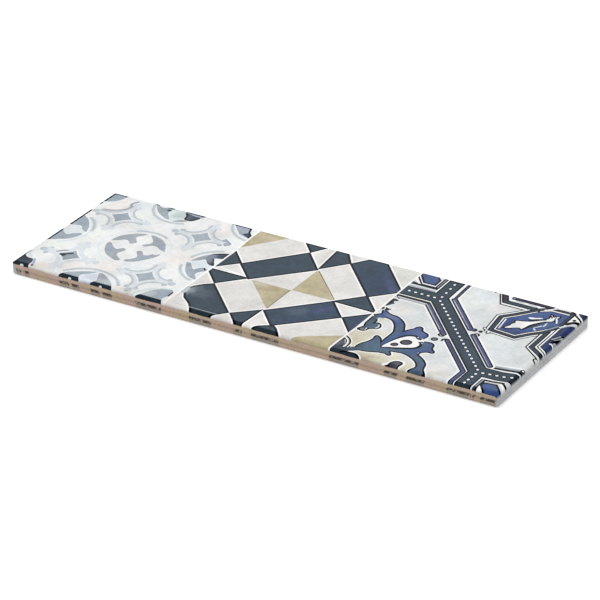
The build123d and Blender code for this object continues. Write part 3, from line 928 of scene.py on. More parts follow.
SEAMS = (
    ((-51.1, -60), (-51.1, 20), (-52.4, 40), (-52.4, 60)),
    ((50.6, -60), (50.75, -40), (51.5, -22), (51.4, -10), (51.0, 12), (50.5, 30), (50.4, 60)),
)
SEAM_WIDTH = 1.0
MERGE = 1e-3
FOOT_STEP = 1.5
WASH_STEP = 2.0
WASH_MARGIN = 1.0
FACE_MARGIN = 0.4
CORNER_POINTS = 6
ARRIS_POINTS = 9
CORNER_SIGNS = ((1, 1), (-1, 1), (-1, -1), (1, -1))

# What becomes of an ink on the arris, and the inks that leave overspray on the wall below them
EDGE_INKS = {
    "dove": "deep_slate", "steel": "deep_slate", "lavender": "deep_slate", "haze": "dove", "mist": "haze",
    "slate": "deep_slate", "blue_slate": "deep_slate", "indigo": "deep_slate", "worn_slate": "slate",
}
DARK_INKS = {"deep_slate", "plum", "outline", "cobalt", "teal", "navy", "periwinkle"}


def inside(points, outline):
    """Which points lie inside an outline, whichever way it winds."""
    low, high = outline.min(0), outline.max(0)
    near = np.flatnonzero(((points >= low) & (points <= high)).all(1))
    turns = np.zeros(len(near), int)
    x, y = points[near].T
    for (ax, ay), (bx, by) in zip(outline, np.roll(outline, -1, 0)):
        left_of = (bx - ax) * (y - ay) - (x - ax) * (by - ay)
        turns += (ay <= y) & (by > y) & (left_of > 0)
        turns -= (ay > y) & (by <= y) & (left_of < 0)
    found = np.zeros(len(points), bool)
    found[near[turns != 0]] = True
    return found


class SlabPlan:
    """Sizes of the slab in millimetres, and the forms that follow from them."""

    def __init__(self, sizes):
        self.half = np.array([sizes.long_side, sizes.short_side]) / 2 / MM
        self.step = sizes.shoulder_step / MM
        self.wall = self.half - self.step
        self.radius = sizes.corner_radius / MM
        self.reach = sizes.cushion_reach / MM
        self.drop = sizes.cushion_drop / MM
        self.top = sizes.thickness / MM
        self.chamfer = sizes.back_chamfer / MM

    def corner_line(self, radius, first, last):
        """A closed line round the tile through four corner arcs, whose angles run from first to last."""
        centre = self.half - self.radius
        corners = []
        for quarter, (sx, sy) in enumerate(CORNER_SIGNS):
            turn = 90 * quarter
            x, y = sx * centre[0], sy * centre[1]
            corners.append(arc(x, y, radius, turn + first, turn + last, CORNER_POINTS))
        return np.vstack(corners)

    def upper_line(self):
        """The upper wall in plan: the rounded corners, cut back by the two planes of the wall."""
        first = math.degrees(math.acos((self.radius - self.step) / self.radius))
        ring = self.corner_line(self.radius, first, 90 - first)
        stations = []
        for a, b in zip(ring, np.roll(ring, -1, 0)):
            count = max(1, round(np.linalg.norm(b - a) / FOOT_STEP))
            stations.append(a + (b - a) * np.arange(count)[:, None] / count)
        return np.vstack(stations)

    def lower_point(self, point, depth):
        """The point of the lower wall, moved in by depth, that lies under a point of the upper wall."""
        side = np.sign(point)
        centre = self.half - self.radius
        past = np.abs(point) - centre
        first = math.acos((self.radius - self.step) / self.radius)
        tight = self.radius * math.sin(first)
        if past.min() > tight - MERGE:
            turn = (math.atan2(past[1], past[0]) - first) / (math.pi / 2 - 2 * first) * math.pi / 2
            return side * (centre + (self.radius - depth) * np.array([math.cos(turn), math.sin(turn)]))
        along, across = (0, 1) if past[1] > past[0] else (1, 0)
        place = np.empty(2)
        place[along] = point[along] * centre[along] / (centre[along] + tight)
        place[across] = side[across] * (self.half[across] - depth)
        return place

    def cushion_lines(self):
        """Lines of equal height along the arris, and one more just inside it that keeps the face flat."""
        angles = np.linspace(0, math.pi / 2, ARRIS_POINTS)[1:]
        insets = [*(self.reach * (1 - np.cos(angles))), self.reach + FACE_MARGIN]
        return [np.array(CORNER_SIGNS) * (self.wall - inset) for inset in insets]

    def height(self, places):
        """Height of the face over each place of the plan."""
        inset = np.clip(self.wall - np.abs(places), 0, self.reach)
        rise = np.sqrt(np.maximum(0, 1 - (1 - inset / self.reach) ** 2))
        return self.top - self.drop * (1 - rise.min(1))

    def on_arris(self, places):
        """Which places of the plan lie on the arris."""
        return (self.wall - np.abs(places)).min(1) < self.reach


def wash_points(plan):
    """Points spread over the flat of the face, so that washes fade smoothly."""
    reach = plan.wall - plan.reach - WASH_MARGIN
    across = np.arange(-reach[0], reach[0], WASH_STEP)
    upward = np.arange(-reach[1], reach[1], WASH_STEP)
    return np.stack(np.meshgrid(across, upward), -1).reshape(-1, 2)


def shared_out(fields, centres):
    """Each field with the triangles that lie between its seams."""
    x, y = centres.T
    past = sum(x > np.interp(y, *np.transpose(seam)[::-1]) for seam in SEAMS)
    for number, field in enumerate(fields):
        yield field, past == number


def cut_plan(plan, fields):
    """(places, triangles, ink of each triangle) of the face in plan, cut along every outline of the print."""
    rim = plan.upper_line()
    seams = [band(seam, SEAM_WIDTH) for seam in SEAMS]
    outlines = [outline for field in fields for _, outline in field.marks]
    coordinates, edges = [], []
    for outline in [rim, *plan.cushion_lines(), *seams, *outlines]:
        start, count = len(coordinates), len(outline)
        coordinates.extend(Vector(point) for point in outline)
        edges.extend((start + i, start + (i + 1) % count) for i in range(count))
    coordinates.extend(Vector(point) for point in wash_points(plan))
    places, _, triangles, *_ = delaunay_2d_cdt(coordinates, edges, [], 0, MERGE, False)
    places, triangles = np.array(places, float), np.array(triangles, int)
    triangles = triangles[inside(places[triangles].mean(1), rim)]
    centres = places[triangles].mean(1)
    inks = np.full(len(triangles), "", dtype=object)
    for field, own in shared_out(fields, centres):
        inks[own] = field.ground
        for ink, outline in field.marks:
            inks[own & inside(centres, outline)] = ink
    for seam in seams:
        inks[inside(centres, seam)] = "bright"
    worn = plan.on_arris(centres)
    inks[worn] = [EDGE_INKS.get(ink, ink) for ink in inks[worn]]
    return places, triangles, inks


def tint_corners(corners, inks, fields, palette):
    """Colour at each corner of each triangle: its own ink, drawn towards others by the washes."""
    colours = np.repeat(np.array([palette[ink] for ink in inks])[:, None], 3, axis=1)
    for field, own in shared_out(fields, corners.mean(1)):
        for ink, toward, place, reach, turn, strength in field.washes:
            touched = own & (inks == ink)
            away = (corners[touched] - place) @ spin(-turn) / reach
            near = np.clip(1 - (away**2).sum(2, keepdims=True), 0, 1)
            share = strength * near**2 * (3 - 2 * near)
            colours[touched] += share * (palette[toward] - colours[touched])
    return colours


def rim_loop(triangles):
    """Corners round the open edge of a sheet of triangles, in order, with the triangle beside each step."""
    beside = {}
    for number, (a, b, c) in enumerate(triangles):
        for edge in ((a, b), (b, c), (c, a)):
            beside[edge] = number
    following = {a: (b, number) for (a, b), number in beside.items() if (b, a) not in beside}
    start = at = next(iter(following))
    loop = []
    while True:
        after, number = following[at]
        loop.append((at, number))
        at = after
        if at == start:
            return loop


# Node trees

PLUS = {"operation": "ADD"}
MINUS = {"operation": "SUBTRACT"}
TIMES = {"operation": "MULTIPLY"}
LARGER = {"operation": "MAXIMUM"}
SOFT = {"interpolation_type": "SMOOTHSTEP"}
COLOURS = {"data_type": "RGBA"}


def add_node(tree, kind, settings=None, inputs=None):
    """Adds a node with its own settings. An input takes a link from a socket, or else a plain value."""
    node = tree.nodes.new(kind)
    for name, value in (settings or {}).items():
        setattr(node, name, value)
    for key, value in (inputs or {}).items():
        if isinstance(value, bpy.types.NodeSocket):
            tree.links.new(value, node.inputs[key])
        else:
            node.inputs[key].default_value = value
    return node


def per_metre(millimetres):
    """Scale of a pattern whose features are that many millimetres wide."""
    return 1 / (millimetres * MM)


def new_material(name):
    """An empty material, its tree and its output node."""
    material = bpy.data.materials.new(name)
    material.use_nodes = True
    tree = material.node_tree
    tree.nodes.clear()
    return material, tree, add_node(tree, "ShaderNodeOutputMaterial")


def mottle(tree, place, size, detail, spread, low, high):
    """Socket of a cloudy pattern from low to high, with features of a size in millimetres."""
    noise = add_node(
        tree, "ShaderNodeTexNoise", inputs={"Vector": place, "Scale": per_metre(size), "Detail": detail}
    )
    return add_node(
        tree, "ShaderNodeMapRange",
        inputs={
            "Value": noise.outputs["Fac"], "From Min": 0.5 - spread, "From Max": 0.5 + spread,
            "To Min": low, "To Max": high,
        },
    ).outputs["Result"]


# Roughness and specular level of the glaze: smooth and glassy on the face, rubbed matt along the arris
FACE_GLOSS = (0.16, 0.08)
ARRIS_GLOSS = (0.6, 0.0)


def printed_glaze(name, roughness, gloss):
    """Ceramic glaze over a printed slip, with washes of ink that pool and thin underneath."""
    material, tree, output = new_material(name)
    place = add_node(tree, "ShaderNodeTexCoord").outputs["Object"]
    ink = add_node(tree, "ShaderNodeAttribute", {"attribute_name": "ink"}).outputs["Color"]
    pool = mottle(tree, place, 14, 3.0, 0.2, 0.88, 1.08)
    grain = mottle(tree, place, 1.4, 2.0, 0.2, 0.95, 1.05)
    brush = mottle(tree, place, 3.2, 3.0, 0.2, -0.16, 0.16)
    paleness = add_node(tree, "ShaderNodeRGBToBW", inputs={"Color": ink})
    depth = add_node(tree, "ShaderNodeMath", MINUS, {0: 1.0, 1: paleness.outputs["Val"]})
    tone = add_node(tree, "ShaderNodeMath", TIMES, {0: pool, 1: grain})
    streak = add_node(tree, "ShaderNodeMath", TIMES, {0: brush, 1: depth.outputs["Value"]})
    value = add_node(tree, "ShaderNodeMath", PLUS, {0: tone.outputs["Value"], 1: streak.outputs["Value"]})
    shade = add_node(tree, "ShaderNodeHueSaturation", inputs={"Color": ink, "Value": value.outputs["Value"]})
    ripple = add_node(
        tree, "ShaderNodeTexNoise", inputs={"Vector": place, "Scale": per_metre(9), "Detail": 1.0}
    )
    bump = add_node(
        tree, "ShaderNodeBump",
        inputs={"Height": ripple.outputs["Fac"], "Strength": 0.15, "Distance": 0.03 * MM},
    )
    shader = add_node(
        tree, "ShaderNodeBsdfPrincipled",
        inputs={
            "Base Color": shade.outputs["Color"], "Roughness": roughness, "IOR": 1.5,
            "Specular IOR Level": gloss, "Normal": bump.outputs["Normal"],
        },
    )
    tree.links.new(shader.outputs["BSDF"], output.inputs["Surface"])
    return material


def soft_band(tree, height, stops, most):
    """Socket that rises to most and falls again between four heights in millimetres."""
    low, full, fade, gone = (stop * MM for stop in stops)
    rise = add_node(
        tree, "ShaderNodeMapRange", SOFT,
        {"Value": height, "From Min": low, "From Max": full, "To Max": most},
    )
    fall = add_node(
        tree, "ShaderNodeMapRange", SOFT,
        {"Value": height, "From Min": fade, "From Max": gone, "To Min": 1.0, "To Max": 0.0},
    )
    both = {0: rise.outputs["Result"], 1: fall.outputs["Result"]}
    return add_node(tree, "ShaderNodeMath", TIMES, both).outputs["Value"]


def fired_biscuit(inks):
    """Dry-pressed clay, fired and unglazed: matt, gritty pink buff, with ink caught by its shoulder."""
    material, tree, output = new_material("fired_clay_biscuit")
    place = add_node(tree, "ShaderNodeTexCoord").outputs["Object"]
    height = add_node(tree, "ShaderNodeSeparateXYZ", inputs={"Vector": place}).outputs["Z"]
    caught = add_node(tree, "ShaderNodeAttribute", {"attribute_name": "overspray"}).outputs["Fac"]
    grit = add_node(
        tree, "ShaderNodeTexNoise", inputs={"Vector": place, "Scale": per_metre(0.9), "Detail": 3.0}
    ).outputs["Fac"]
    gritty = add_node(
        tree, "ShaderNodeMapRange",
        inputs={"Value": grit, "From Min": 0.25, "From Max": 0.75, "To Min": 0.84, "To Max": 1.12},
    )
    body = add_node(
        tree, "ShaderNodeMix", COLOURS,
        {
            "Factor": mottle(tree, place, 16, 4.0, 0.12, 0.0, 1.0),
            6: (*inks.biscuit, 1.0), 7: (*inks.biscuit_warm, 1.0),
        },
    )
    shade = add_node(
        tree, "ShaderNodeHueSaturation", inputs={"Color": body.outputs[2], "Value": gritty.outputs["Result"]}
    )
    # A darker band on every wall: up to 22 % of the overspray brown, from 2.2 to 3.9 mm up, along the press
    # shoulder.
    darker_shoulder_band = soft_band(tree, height, (2.2, 2.9, 3.2, 3.9), 0.22)
    film = add_node(
        tree, "ShaderNodeMath", TIMES, {0: soft_band(tree, height, (-1.0, 0.0, 3.4, 4.6), 0.8), 1: caught}
    )
    drops = add_node(
        tree, "ShaderNodeTexNoise", inputs={"Vector": place, "Scale": per_metre(2.4), "Detail": 2.0}
    )
    broken = add_node(
        tree, "ShaderNodeMapRange", SOFT,
        {"Value": drops.outputs["Fac"], "From Min": 0.32, "From Max": 0.52},
    )
    row = add_node(
        tree, "ShaderNodeMath", TIMES,
        {0: soft_band(tree, height, (2.0, 2.7, 3.4, 4.3), 0.9), 1: broken.outputs["Result"]},
    )
    smudge = add_node(tree, "ShaderNodeMath", TIMES, {0: row.outputs["Value"], 1: caught})
    surface = shade.outputs["Color"]
    for share, ink in (
        (darker_shoulder_band, inks.overspray), (film.outputs["Value"], inks.veil),
        (smudge.outputs["Value"], inks.overspray),
    ):
        layer = add_node(tree, "ShaderNodeMix", COLOURS, {"Factor": share, 6: surface, 7: (*ink, 1.0)})
        surface = layer.outputs[2]
    bump = add_node(
        tree, "ShaderNodeBump", inputs={"Height": grit, "Strength": 0.5, "Distance": 0.15 * MM}
    )
    shader = add_node(
        tree, "ShaderNodeBsdfPrincipled",
        inputs={
            "Base Color": surface, "Roughness": 0.9, "IOR": 1.45, "Specular IOR Level": 0.2,
            "Normal": bump.outputs["Normal"],
        },
    )
    tree.links.new(shader.outputs["BSDF"], output.inputs["Surface"])
    return material


# The key back: pockets between ribs, laid out by geometry nodes inside the ring that the walls end in

def key_back_tree():
    """Tree that fills a ring with a plate of drafted pockets, and its inputs by name."""
    tree = bpy.data.node_groups.new("key_back", "GeometryNodeTree")
    face = tree.interface
    face.new_socket(name="Ring", in_out="INPUT", socket_type="NodeSocketGeometry")
    inputs = {}
    for name, kind in (
        ("Pocket Length", "Float"), ("Pocket Width", "Float"), ("Rib", "Float"), ("Depth", "Float"),
        ("Corner Radius", "Float"), ("Draft Run", "Float"), ("Columns", "Int"), ("Rows", "Int"),
        ("Clay", "Material"),
    ):
        inputs[name] = face.new_socket(name=name, in_out="INPUT", socket_type="NodeSocket" + kind).identifier
    face.new_socket(name="Back", in_out="OUTPUT", socket_type="NodeSocketGeometry")
    given = add_node(tree, "NodeGroupInput").outputs
    ring = add_node(tree, "GeometryNodeMeshToCurve", inputs={"Mesh": given["Ring"]})
    sheet = add_node(
        tree, "GeometryNodeCurvePrimitiveQuadrilateral",
        inputs={"Width": given["Pocket Length"], "Height": given["Pocket Width"]},
    )
    mouth = add_node(
        tree, "GeometryNodeFilletCurve", {"mode": "POLY"},
        {"Curve": sheet.outputs["Curve"], "Count": 6, "Radius": given["Corner Radius"]},
    )
    spans = {}
    for name, size, count in (("X", "Pocket Length", "Columns"), ("Y", "Pocket Width", "Rows")):
        pitch = add_node(tree, "ShaderNodeMath", PLUS, {0: given[size], 1: given["Rib"]})
        gaps = add_node(tree, "ShaderNodeMath", MINUS, {0: given[count], 1: 1.0})
        span = add_node(tree, "ShaderNodeMath", TIMES, {0: pitch.outputs[0], 1: gaps.outputs[0]})
        spans["Size " + name] = span.outputs[0]
        spans["Vertices " + name] = given[count]
    grid = add_node(tree, "GeometryNodeMeshGrid", inputs=spans)
    mouths = add_node(
        tree, "GeometryNodeInstanceOnPoints",
        inputs={"Points": grid.outputs["Mesh"], "Instance": mouth.outputs["Curve"]},
    )
    edges = add_node(tree, "GeometryNodeJoinGeometry")
    for source in (ring.outputs["Curve"], mouths.outputs["Instances"]):
        tree.links.new(source, edges.inputs[0])
    lines = add_node(tree, "GeometryNodeRealizeInstances", inputs={"Geometry": edges.outputs[0]})
    plate = add_node(tree, "GeometryNodeFillCurve", {"mode": "TRIANGLES"}, {"Curve": lines.outputs[0]})
    floor = add_node(tree, "GeometryNodeFillCurve", {"mode": "NGONS"}, {"Curve": mouth.outputs["Curve"]})
    rise = add_node(tree, "ShaderNodeCombineXYZ", inputs={"Z": given["Depth"]})
    cup = add_node(
        tree, "GeometryNodeExtrudeMesh", {"mode": "FACES"},
        {"Mesh": floor.outputs["Mesh"], "Offset": rise.outputs[0], "Individual": False},
    )
    spot = add_node(tree, "GeometryNodeInputPosition")
    outward = add_node(tree, "ShaderNodeVectorMath", {"operation": "SIGN"}, {0: spot.outputs[0]})
    flat = add_node(tree, "ShaderNodeVectorMath", TIMES, {0: outward.outputs[0], 1: (-1.0, -1.0, 0.0)})
    inward = add_node(
        tree, "ShaderNodeVectorMath", {"operation": "SCALE"},
        {0: flat.outputs[0], "Scale": given["Draft Run"]},
    )
    drafted = add_node(
        tree, "GeometryNodeSetPosition",
        inputs={
            "Geometry": cup.outputs["Mesh"], "Selection": cup.outputs["Top"], "Offset": inward.outputs[0],
        },
    )
    cups = add_node(
        tree, "GeometryNodeInstanceOnPoints",
        inputs={"Points": grid.outputs["Mesh"], "Instance": drafted.outputs["Geometry"]},
    )
    whole = add_node(tree, "GeometryNodeJoinGeometry")
    for source in (plate.outputs["Mesh"], cups.outputs["Instances"]):
        tree.links.new(source, whole.inputs[0])
    turned_down = add_node(tree, "GeometryNodeFlipFaces", inputs={"Mesh": whole.outputs[0]})
    real = add_node(tree, "GeometryNodeRealizeInstances", inputs={"Geometry": turned_down.outputs["Mesh"]})
    finished = add_node(
        tree, "GeometryNodeSetMaterial", inputs={"Geometry": real.outputs[0], "Material": given["Clay"]}
    )
    add_node(tree, "NodeGroupOutput", inputs={"Back": finished.outputs["Geometry"]})
    return tree, inputs


def key_back(ring, sizes, clay):
    """(points, faces) of the back, in metres, inside a closed ring of points."""
    mesh = bpy.data.meshes.new("key_back")
    count = len(ring)
    mesh.from_pydata(ring, [(i, (i + 1) % count) for i in range(count)], [])
    maker = bpy.data.objects.new("key_back", mesh)
    bpy.context.scene.collection.objects.link(maker)
    tree, inputs = key_back_tree()
    modifier = maker.modifiers.new("key_back", "NODES")
    modifier.node_group = tree
    spread = sizes.key_border * 2 - sizes.key_rib
    values = {
        "Pocket Length": (sizes.long_side - spread) / sizes.key_columns - sizes.key_rib,
        "Pocket Width": (sizes.short_side - spread) / sizes.key_rows - sizes.key_rib,
        "Rib": sizes.key_rib,
        "Depth": sizes.key_depth,
        "Corner Radius": sizes.key_corner,
        "Draft Run": sizes.key_depth * math.tan(sizes.key_draft),
        "Columns": sizes.key_columns,
        "Rows": sizes.key_rows,
        "Clay": clay,
    }
    for name, value in values.items():
        modifier[inputs[name]] = value
    graph = bpy.context.evaluated_depsgraph_get()
    made = bpy.data.meshes.new_from_object(maker.evaluated_get(graph), depsgraph=graph)
    points = [tuple(v.co) for v in made.vertices]
    faces = [tuple(p.vertices) for p in made.polygons]
    for block, owner in ((maker, bpy.data.objects), (mesh, bpy.data.meshes), (made, bpy.data.meshes)):
        owner.remove(block)
    bpy.data.node_groups.remove(tree)
    return points, faces


# The tile

GLAZE, CLAY, ARRIS = 0, 1, 2
SHARP_ANGLE = 28

# Waves in the end of the glaze: share, length over a full turn in radians, and start of each
GLAZE_WAVES = ((0.55, 7.3, 0.0), (0.3, 2.9, 1.0), (0.3, 1.3, 2.0))
GLAZE_SLANT = 0.7
RUN_WIDTH = 1.3
RUN_WANDER = 0.3

# How near to an end a wall counts as part of it, and how far the glaze wraps round the left corner
END_MARGIN = 0.3
END_WRAP = 2.4


class TileMesh:
    """Points and faces of the tile, with the finish and colours of each face, gathered ring by ring."""

    def __init__(self):
        self.points = []
        self.faces = []
        self.finishes = []
        self.colours = []
        self.overspray = []

    def add_ring(self, places, heights):
        start = len(self.points)
        self.points.extend((x * MM, y * MM, z * MM) for (x, y), z in zip(places, heights))
        return list(range(start, len(self.points)))

    def add_face(self, corners, finish, colours, overspray=0.0):
        """Adds a face with a colour for each corner, or one for them all."""
        self.faces.append(tuple(corners))
        self.finishes.append(finish)
        self.colours.append(np.broadcast_to(colours, (len(corners), 3)))
        self.overspray.append(overspray)

    def add_back(self, points, faces, ring, colour):
        """Adds the back, merging points that meet the ring or each other."""
        tree = KDTree(len(ring) + len(points))
        known = list(ring)
        for slot, number in enumerate(ring):
            tree.insert(self.points[number], slot)
        for slot, point in enumerate(points):
            tree.insert(point, len(ring) + slot)
            known.append(None)
        tree.balance()
        for slot, point in enumerate(points):
            twins = [other for _, other, _ in tree.find_range(point, MERGE * MM)]
            named = [known[other] for other in twins if known[other] is not None]
            if named:
                known[len(ring) + slot] = named[0]
            else:
                known[len(ring) + slot] = len(self.points)
                self.points.append(point)
        for face in faces:
            self.add_face([known[len(ring) + corner] for corner in face], CLAY, colour)


def glaze_line(places, sizes):
    """Height of the end of the glaze at each place, in millimetres: it wanders in slow and quick waves."""
    along = places[:, 0] + GLAZE_SLANT * places[:, 1]
    wave = sum(share * np.sin(along / span + start) for share, span, start in GLAZE_WAVES)
    run = np.clip(np.abs(places[:, 0]) - sizes.long_side / 2 / MM + RUN_WIDTH, 0, 1)
    fall = run * sizes.glaze_run / MM * (1 + RUN_WANDER * wave)
    return sizes.glaze_foot / MM + sizes.glaze_wave / MM * wave - fall


def wall_finish(place, plan):
    """Finish of a wall below the glaze line: clay on the long sides, and run glaze on and beside the ends."""
    on_end = abs(place[0]) > plan.wall[0] - END_MARGIN or place[0] < END_WRAP - plan.half[0]
    return GLAZE if on_end else CLAY


def build_tile_mesh(sizes, inks, clay):
    """The whole tile: printed face, arris, walls with their press shoulder, back chamfer and key back."""
    plan = SlabPlan(sizes)
    fields = [lattice_field(), quilt_field(), scroll_field()]
    palette = {name: np.array(getattr(inks, name)) for name in WallTileInks.__annotations__}
    places, triangles, printed = cut_plan(plan, fields)
    colours = tint_corners(places[triangles], printed, fields, palette)
    used, triangles = np.unique(triangles, return_inverse=True)
    places, triangles = places[used], triangles.reshape(-1, 3)
    tile = TileMesh()
    tile.add_ring(places, plan.height(places))
    worn = plan.on_arris(places[triangles].mean(1))
    for triangle, tints, rubbed in zip(triangles, colours, worn):
        tile.add_face(triangle, ARRIS if rubbed else GLAZE, tints)
    loop = rim_loop(triangles)
    rim = np.array([places[corner] for corner, _ in loop])
    lower = np.array([plan.lower_point(point, 0.0) for point in rim])
    bottom = np.array([plan.lower_point(point, plan.chamfer) for point in rim])
    shoulder = sizes.shoulder_height / MM
    count = len(loop)
    rings = [
        [corner for corner, _ in loop],
        tile.add_ring(rim, glaze_line(rim, sizes)),
        tile.add_ring(rim, [shoulder] * count),
        tile.add_ring(lower, [shoulder - plan.step] * count),
        tile.add_ring(lower, [plan.chamfer] * count),
        tile.add_ring(bottom, [0.0] * count),
    ]
    for strip, (upper, under) in enumerate(zip(rings, rings[1:])):
        for i, (_, beside) in enumerate(loop):
            j = (i + 1) % count
            wall = wall_finish((rim[i] + rim[j]) / 2, plan)
            tint = colours[beside].mean(0)
            run_out = palette["end_glaze"]
            tints = run_out
            if strip == 0:
                tints = (run_out, run_out, tint, tint) if wall == GLAZE else tint
            caught = 1.0 if printed[beside] in DARK_INKS else 0.0
            finish = GLAZE if strip == 0 else wall
            tile.add_face((under[i], under[j], upper[j], upper[i]), finish, tints, caught)
    ring = [tile.points[number] for number in rings[-1]]
    points, faces = key_back(ring, sizes, clay)
    tile.add_back(points, faces, rings[-1], palette["biscuit"])
    return tile


def make_tile(sizes, inks):
    """The tile as one object, with the ink at each corner in an attribute."""
    glaze = printed_glaze("printed_gloss_glaze", *FACE_GLOSS)
    clay = fired_biscuit(inks)
    arris = printed_glaze("printed_rubbed_glaze", *ARRIS_GLOSS)
    tile = build_tile_mesh(sizes, inks, clay)
    mesh = bpy.data.meshes.new("glazed_tile")
    mesh.from_pydata(tile.points, [], tile.faces)
    for finish in (glaze, clay, arris):
        mesh.materials.append(finish)
    mesh.polygons.foreach_set("material_index", tile.finishes)
    sides = [len(face) for face in tile.faces]
    colours = np.vstack(tile.colours)
    colours = np.hstack([colours, np.ones((len(colours), 1))]).astype(np.float32)
    mesh.attributes.new("ink", "FLOAT_COLOR", "CORNER")
    mesh.attributes["ink"].data.foreach_set("color", colours.ravel())
    mesh.attributes.new("overspray", "FLOAT", "CORNER")
    caught = np.repeat(np.array(tile.overspray, np.float32), sides)
    mesh.attributes["overspray"].data.foreach_set("value", caught)
    mesh.shade_smooth()
    mesh.set_sharp_from_angle(angle=math.radians(SHARP_ANGLE))
    mesh.update()
    piece = bpy.data.objects.new("glazed_tile", mesh)
    bpy.context.scene.collection.objects.link(piece)
    return piece


# The studio

FLOOR_REACH = 12.0
FLOOR_GAP = 0.1 * MM
SOFTBOX_SIZE = 1.2
SOFTBOX_PLACE = (-0.3, 0.2, 1.6)
SENSOR_WIDTH = 36.0


def shown_rays(tree):
    """Socket that is 1 for a ray that the picture, a reflection or a clear body shows, and else 0."""
    seen = add_node(tree, "ShaderNodeLightPath").outputs
    direct = add_node(tree, "ShaderNodeMath", LARGER, {0: seen["Is Camera Ray"], 1: seen["Is Glossy Ray"]})
    shown = {0: direct.outputs[0], 1: seen["Is Transmission Ray"]}
    return add_node(tree, "ShaderNodeMath", LARGER, shown).outputs[0]


def studio_floor(studio):
    """Pale matt floor that keeps the tile's shadow and reaches white in the picture."""
    material, tree, output = new_material("pale_floor")
    lift = add_node(tree, "ShaderNodeMath", TIMES, {0: shown_rays(tree), 1: studio.floor_lift})
    matt = add_node(tree, "ShaderNodeBsdfDiffuse", inputs={"Color": (*studio.floor, 1.0)})
    glow = add_node(tree, "ShaderNodeEmission", inputs={"Strength": lift.outputs[0]})
    both = add_node(tree, "ShaderNodeAddShader", inputs={0: matt.outputs[0], 1: glow.outputs[0]})
    tree.links.new(both.outputs[0], output.inputs["Surface"])
    return material


def studio_world(studio):
    """Even light all round, which is white where the picture or a reflection shows it."""
    world = bpy.data.worlds.new("studio")
    world.use_nodes = True
    tree = world.node_tree
    tree.nodes.clear()
    strength = add_node(
        tree, "ShaderNodeMapRange",
        inputs={"Value": shown_rays(tree), "To Min": studio.ambient, "To Max": 1.0},
    )
    light = add_node(
        tree, "ShaderNodeBackground", inputs={"Color": (1, 1, 1, 1), "Strength": strength.outputs["Result"]}
    )
    add_node(tree, "ShaderNodeOutputWorld", inputs={"Surface": light.outputs[0]})
    return world


def add_softbox(name, power, size, place):
    """A square softbox that hangs at a place and shines on the tile."""
    data = bpy.data.lights.new(name, "AREA")
    data.energy = power
    data.size = size
    lamp = bpy.data.objects.new(name, data)
    lamp.location = place
    lamp.rotation_mode = "QUATERNION"
    lamp.rotation_quaternion = (-Vector(place)).to_track_quat("-Z", "Y")
    bpy.context.scene.collection.objects.link(lamp)
    return lamp


def add_camera(studio):
    """The camera at the picture's angle, aimed a little to the right of the origin."""
    turn, rise, roll = studio.azimuth, studio.elevation, studio.roll
    back = Vector((math.sin(turn) * math.cos(rise), -math.cos(turn) * math.cos(rise), math.sin(rise)))
    level = Vector((math.cos(turn), math.sin(turn), 0.0))
    upright = back.cross(level)
    right = level * math.cos(roll) + upright * math.sin(roll)
    up = upright * math.cos(roll) - level * math.sin(roll)
    data = bpy.data.cameras.new("camera")
    data.lens = studio.lens
    data.sensor_width = SENSOR_WIDTH
    camera = bpy.data.objects.new("camera", data)
    axes = Matrix((right, up, back)).transposed().to_4x4()
    camera.matrix_world = Matrix.Translation(right * studio.aim_right + back * studio.distance) @ axes
    bpy.context.scene.collection.objects.link(camera)
    bpy.context.scene.camera = camera
    return camera


class WALLTILE_OT_tile(Operator):
    """Build the printed and glazed tile"""

    bl_idname = "walltile.tile"
    bl_label = "Build Tile"
    bl_options = {"REGISTER", "UNDO"}

    def execute(self, context):
        piece = make_tile(context.scene.wall_tile_sizes, context.scene.wall_tile_inks)
        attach(piece, "root")
        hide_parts("tile")
        return {"FINISHED"}


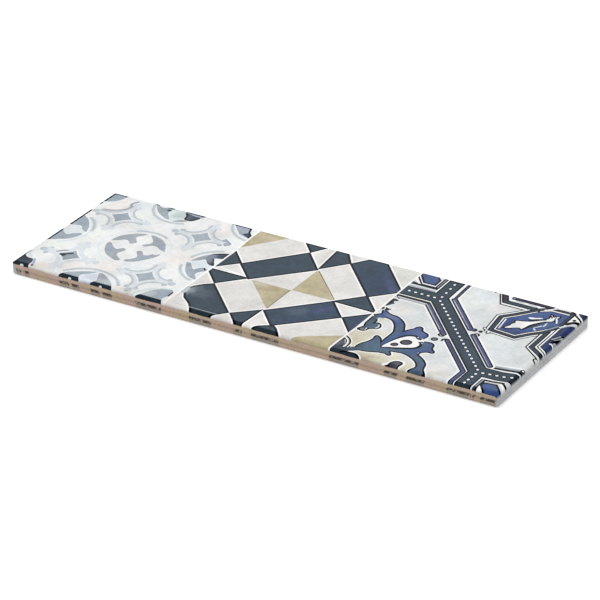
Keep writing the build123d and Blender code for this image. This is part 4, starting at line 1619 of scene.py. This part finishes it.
class WALLTILE_OT_studio(Operator):
    """Build the floor, the light and the camera"""

    bl_idname = "walltile.studio"
    bl_label = "Build Studio"
    bl_options = {"REGISTER", "UNDO"}

    def execute(self, context):
        studio = context.scene.wall_tile_studio
        mesh = bpy.data.meshes.new("floor")
        corners = [(sx * FLOOR_REACH, sy * FLOOR_REACH, -FLOOR_GAP) for sx, sy in CORNER_SIGNS]
        mesh.from_pydata(corners, [], [(0, 1, 2, 3)])
        mesh.materials.append(studio_floor(studio))
        floor = bpy.data.objects.new("floor", mesh)
        context.scene.collection.objects.link(floor)
        context.scene.world = studio_world(studio)
        add_softbox("overhead_softbox", studio.softbox, SOFTBOX_SIZE, SOFTBOX_PLACE)
        add_camera(studio)
        context.scene.view_settings.view_transform = "Standard"
        return {"FINISHED"}


class WALLTILE_PT_sidebar(Panel):
    """Sizes, inks and studio of the wall tile"""

    bl_idname = "WALLTILE_PT_sidebar"
    bl_label = "Wall Tile"
    bl_space_type = "VIEW_3D"
    bl_region_type = "UI"
    bl_category = "Wall Tile"

    def draw(self, context):
        scene = context.scene
        for title, group, operator in (
            ("Tile", scene.wall_tile_sizes, WALLTILE_OT_tile.bl_idname),
            ("Inks", scene.wall_tile_inks, None),
            ("Studio", scene.wall_tile_studio, WALLTILE_OT_studio.bl_idname),
        ):
            box = self.layout.box()
            box.label(text=title)
            for name in group.__annotations__:
                box.prop(group, name)
            if operator:
                box.operator(operator)


CLASSES = (
    WallTileSizes, WallTileInks, WallTileStudio, WALLTILE_OT_tile, WALLTILE_OT_studio, WALLTILE_PT_sidebar,
)


def register():
    for cls in CLASSES:
        bpy.utils.register_class(cls)
    bpy.types.Scene.wall_tile_sizes = PointerProperty(type=WallTileSizes)
    bpy.types.Scene.wall_tile_inks = PointerProperty(type=WallTileInks)
    bpy.types.Scene.wall_tile_studio = PointerProperty(type=WallTileStudio)


def unregister():
    del bpy.types.Scene.wall_tile_studio
    del bpy.types.Scene.wall_tile_inks
    del bpy.types.Scene.wall_tile_sizes
    for cls in reversed(CLASSES):
        bpy.utils.unregister_class(cls)


def main():
    register()
    bpy.ops.walltile.tile()
    bpy.ops.walltile.studio()


if __name__ == "__main__":
    main()
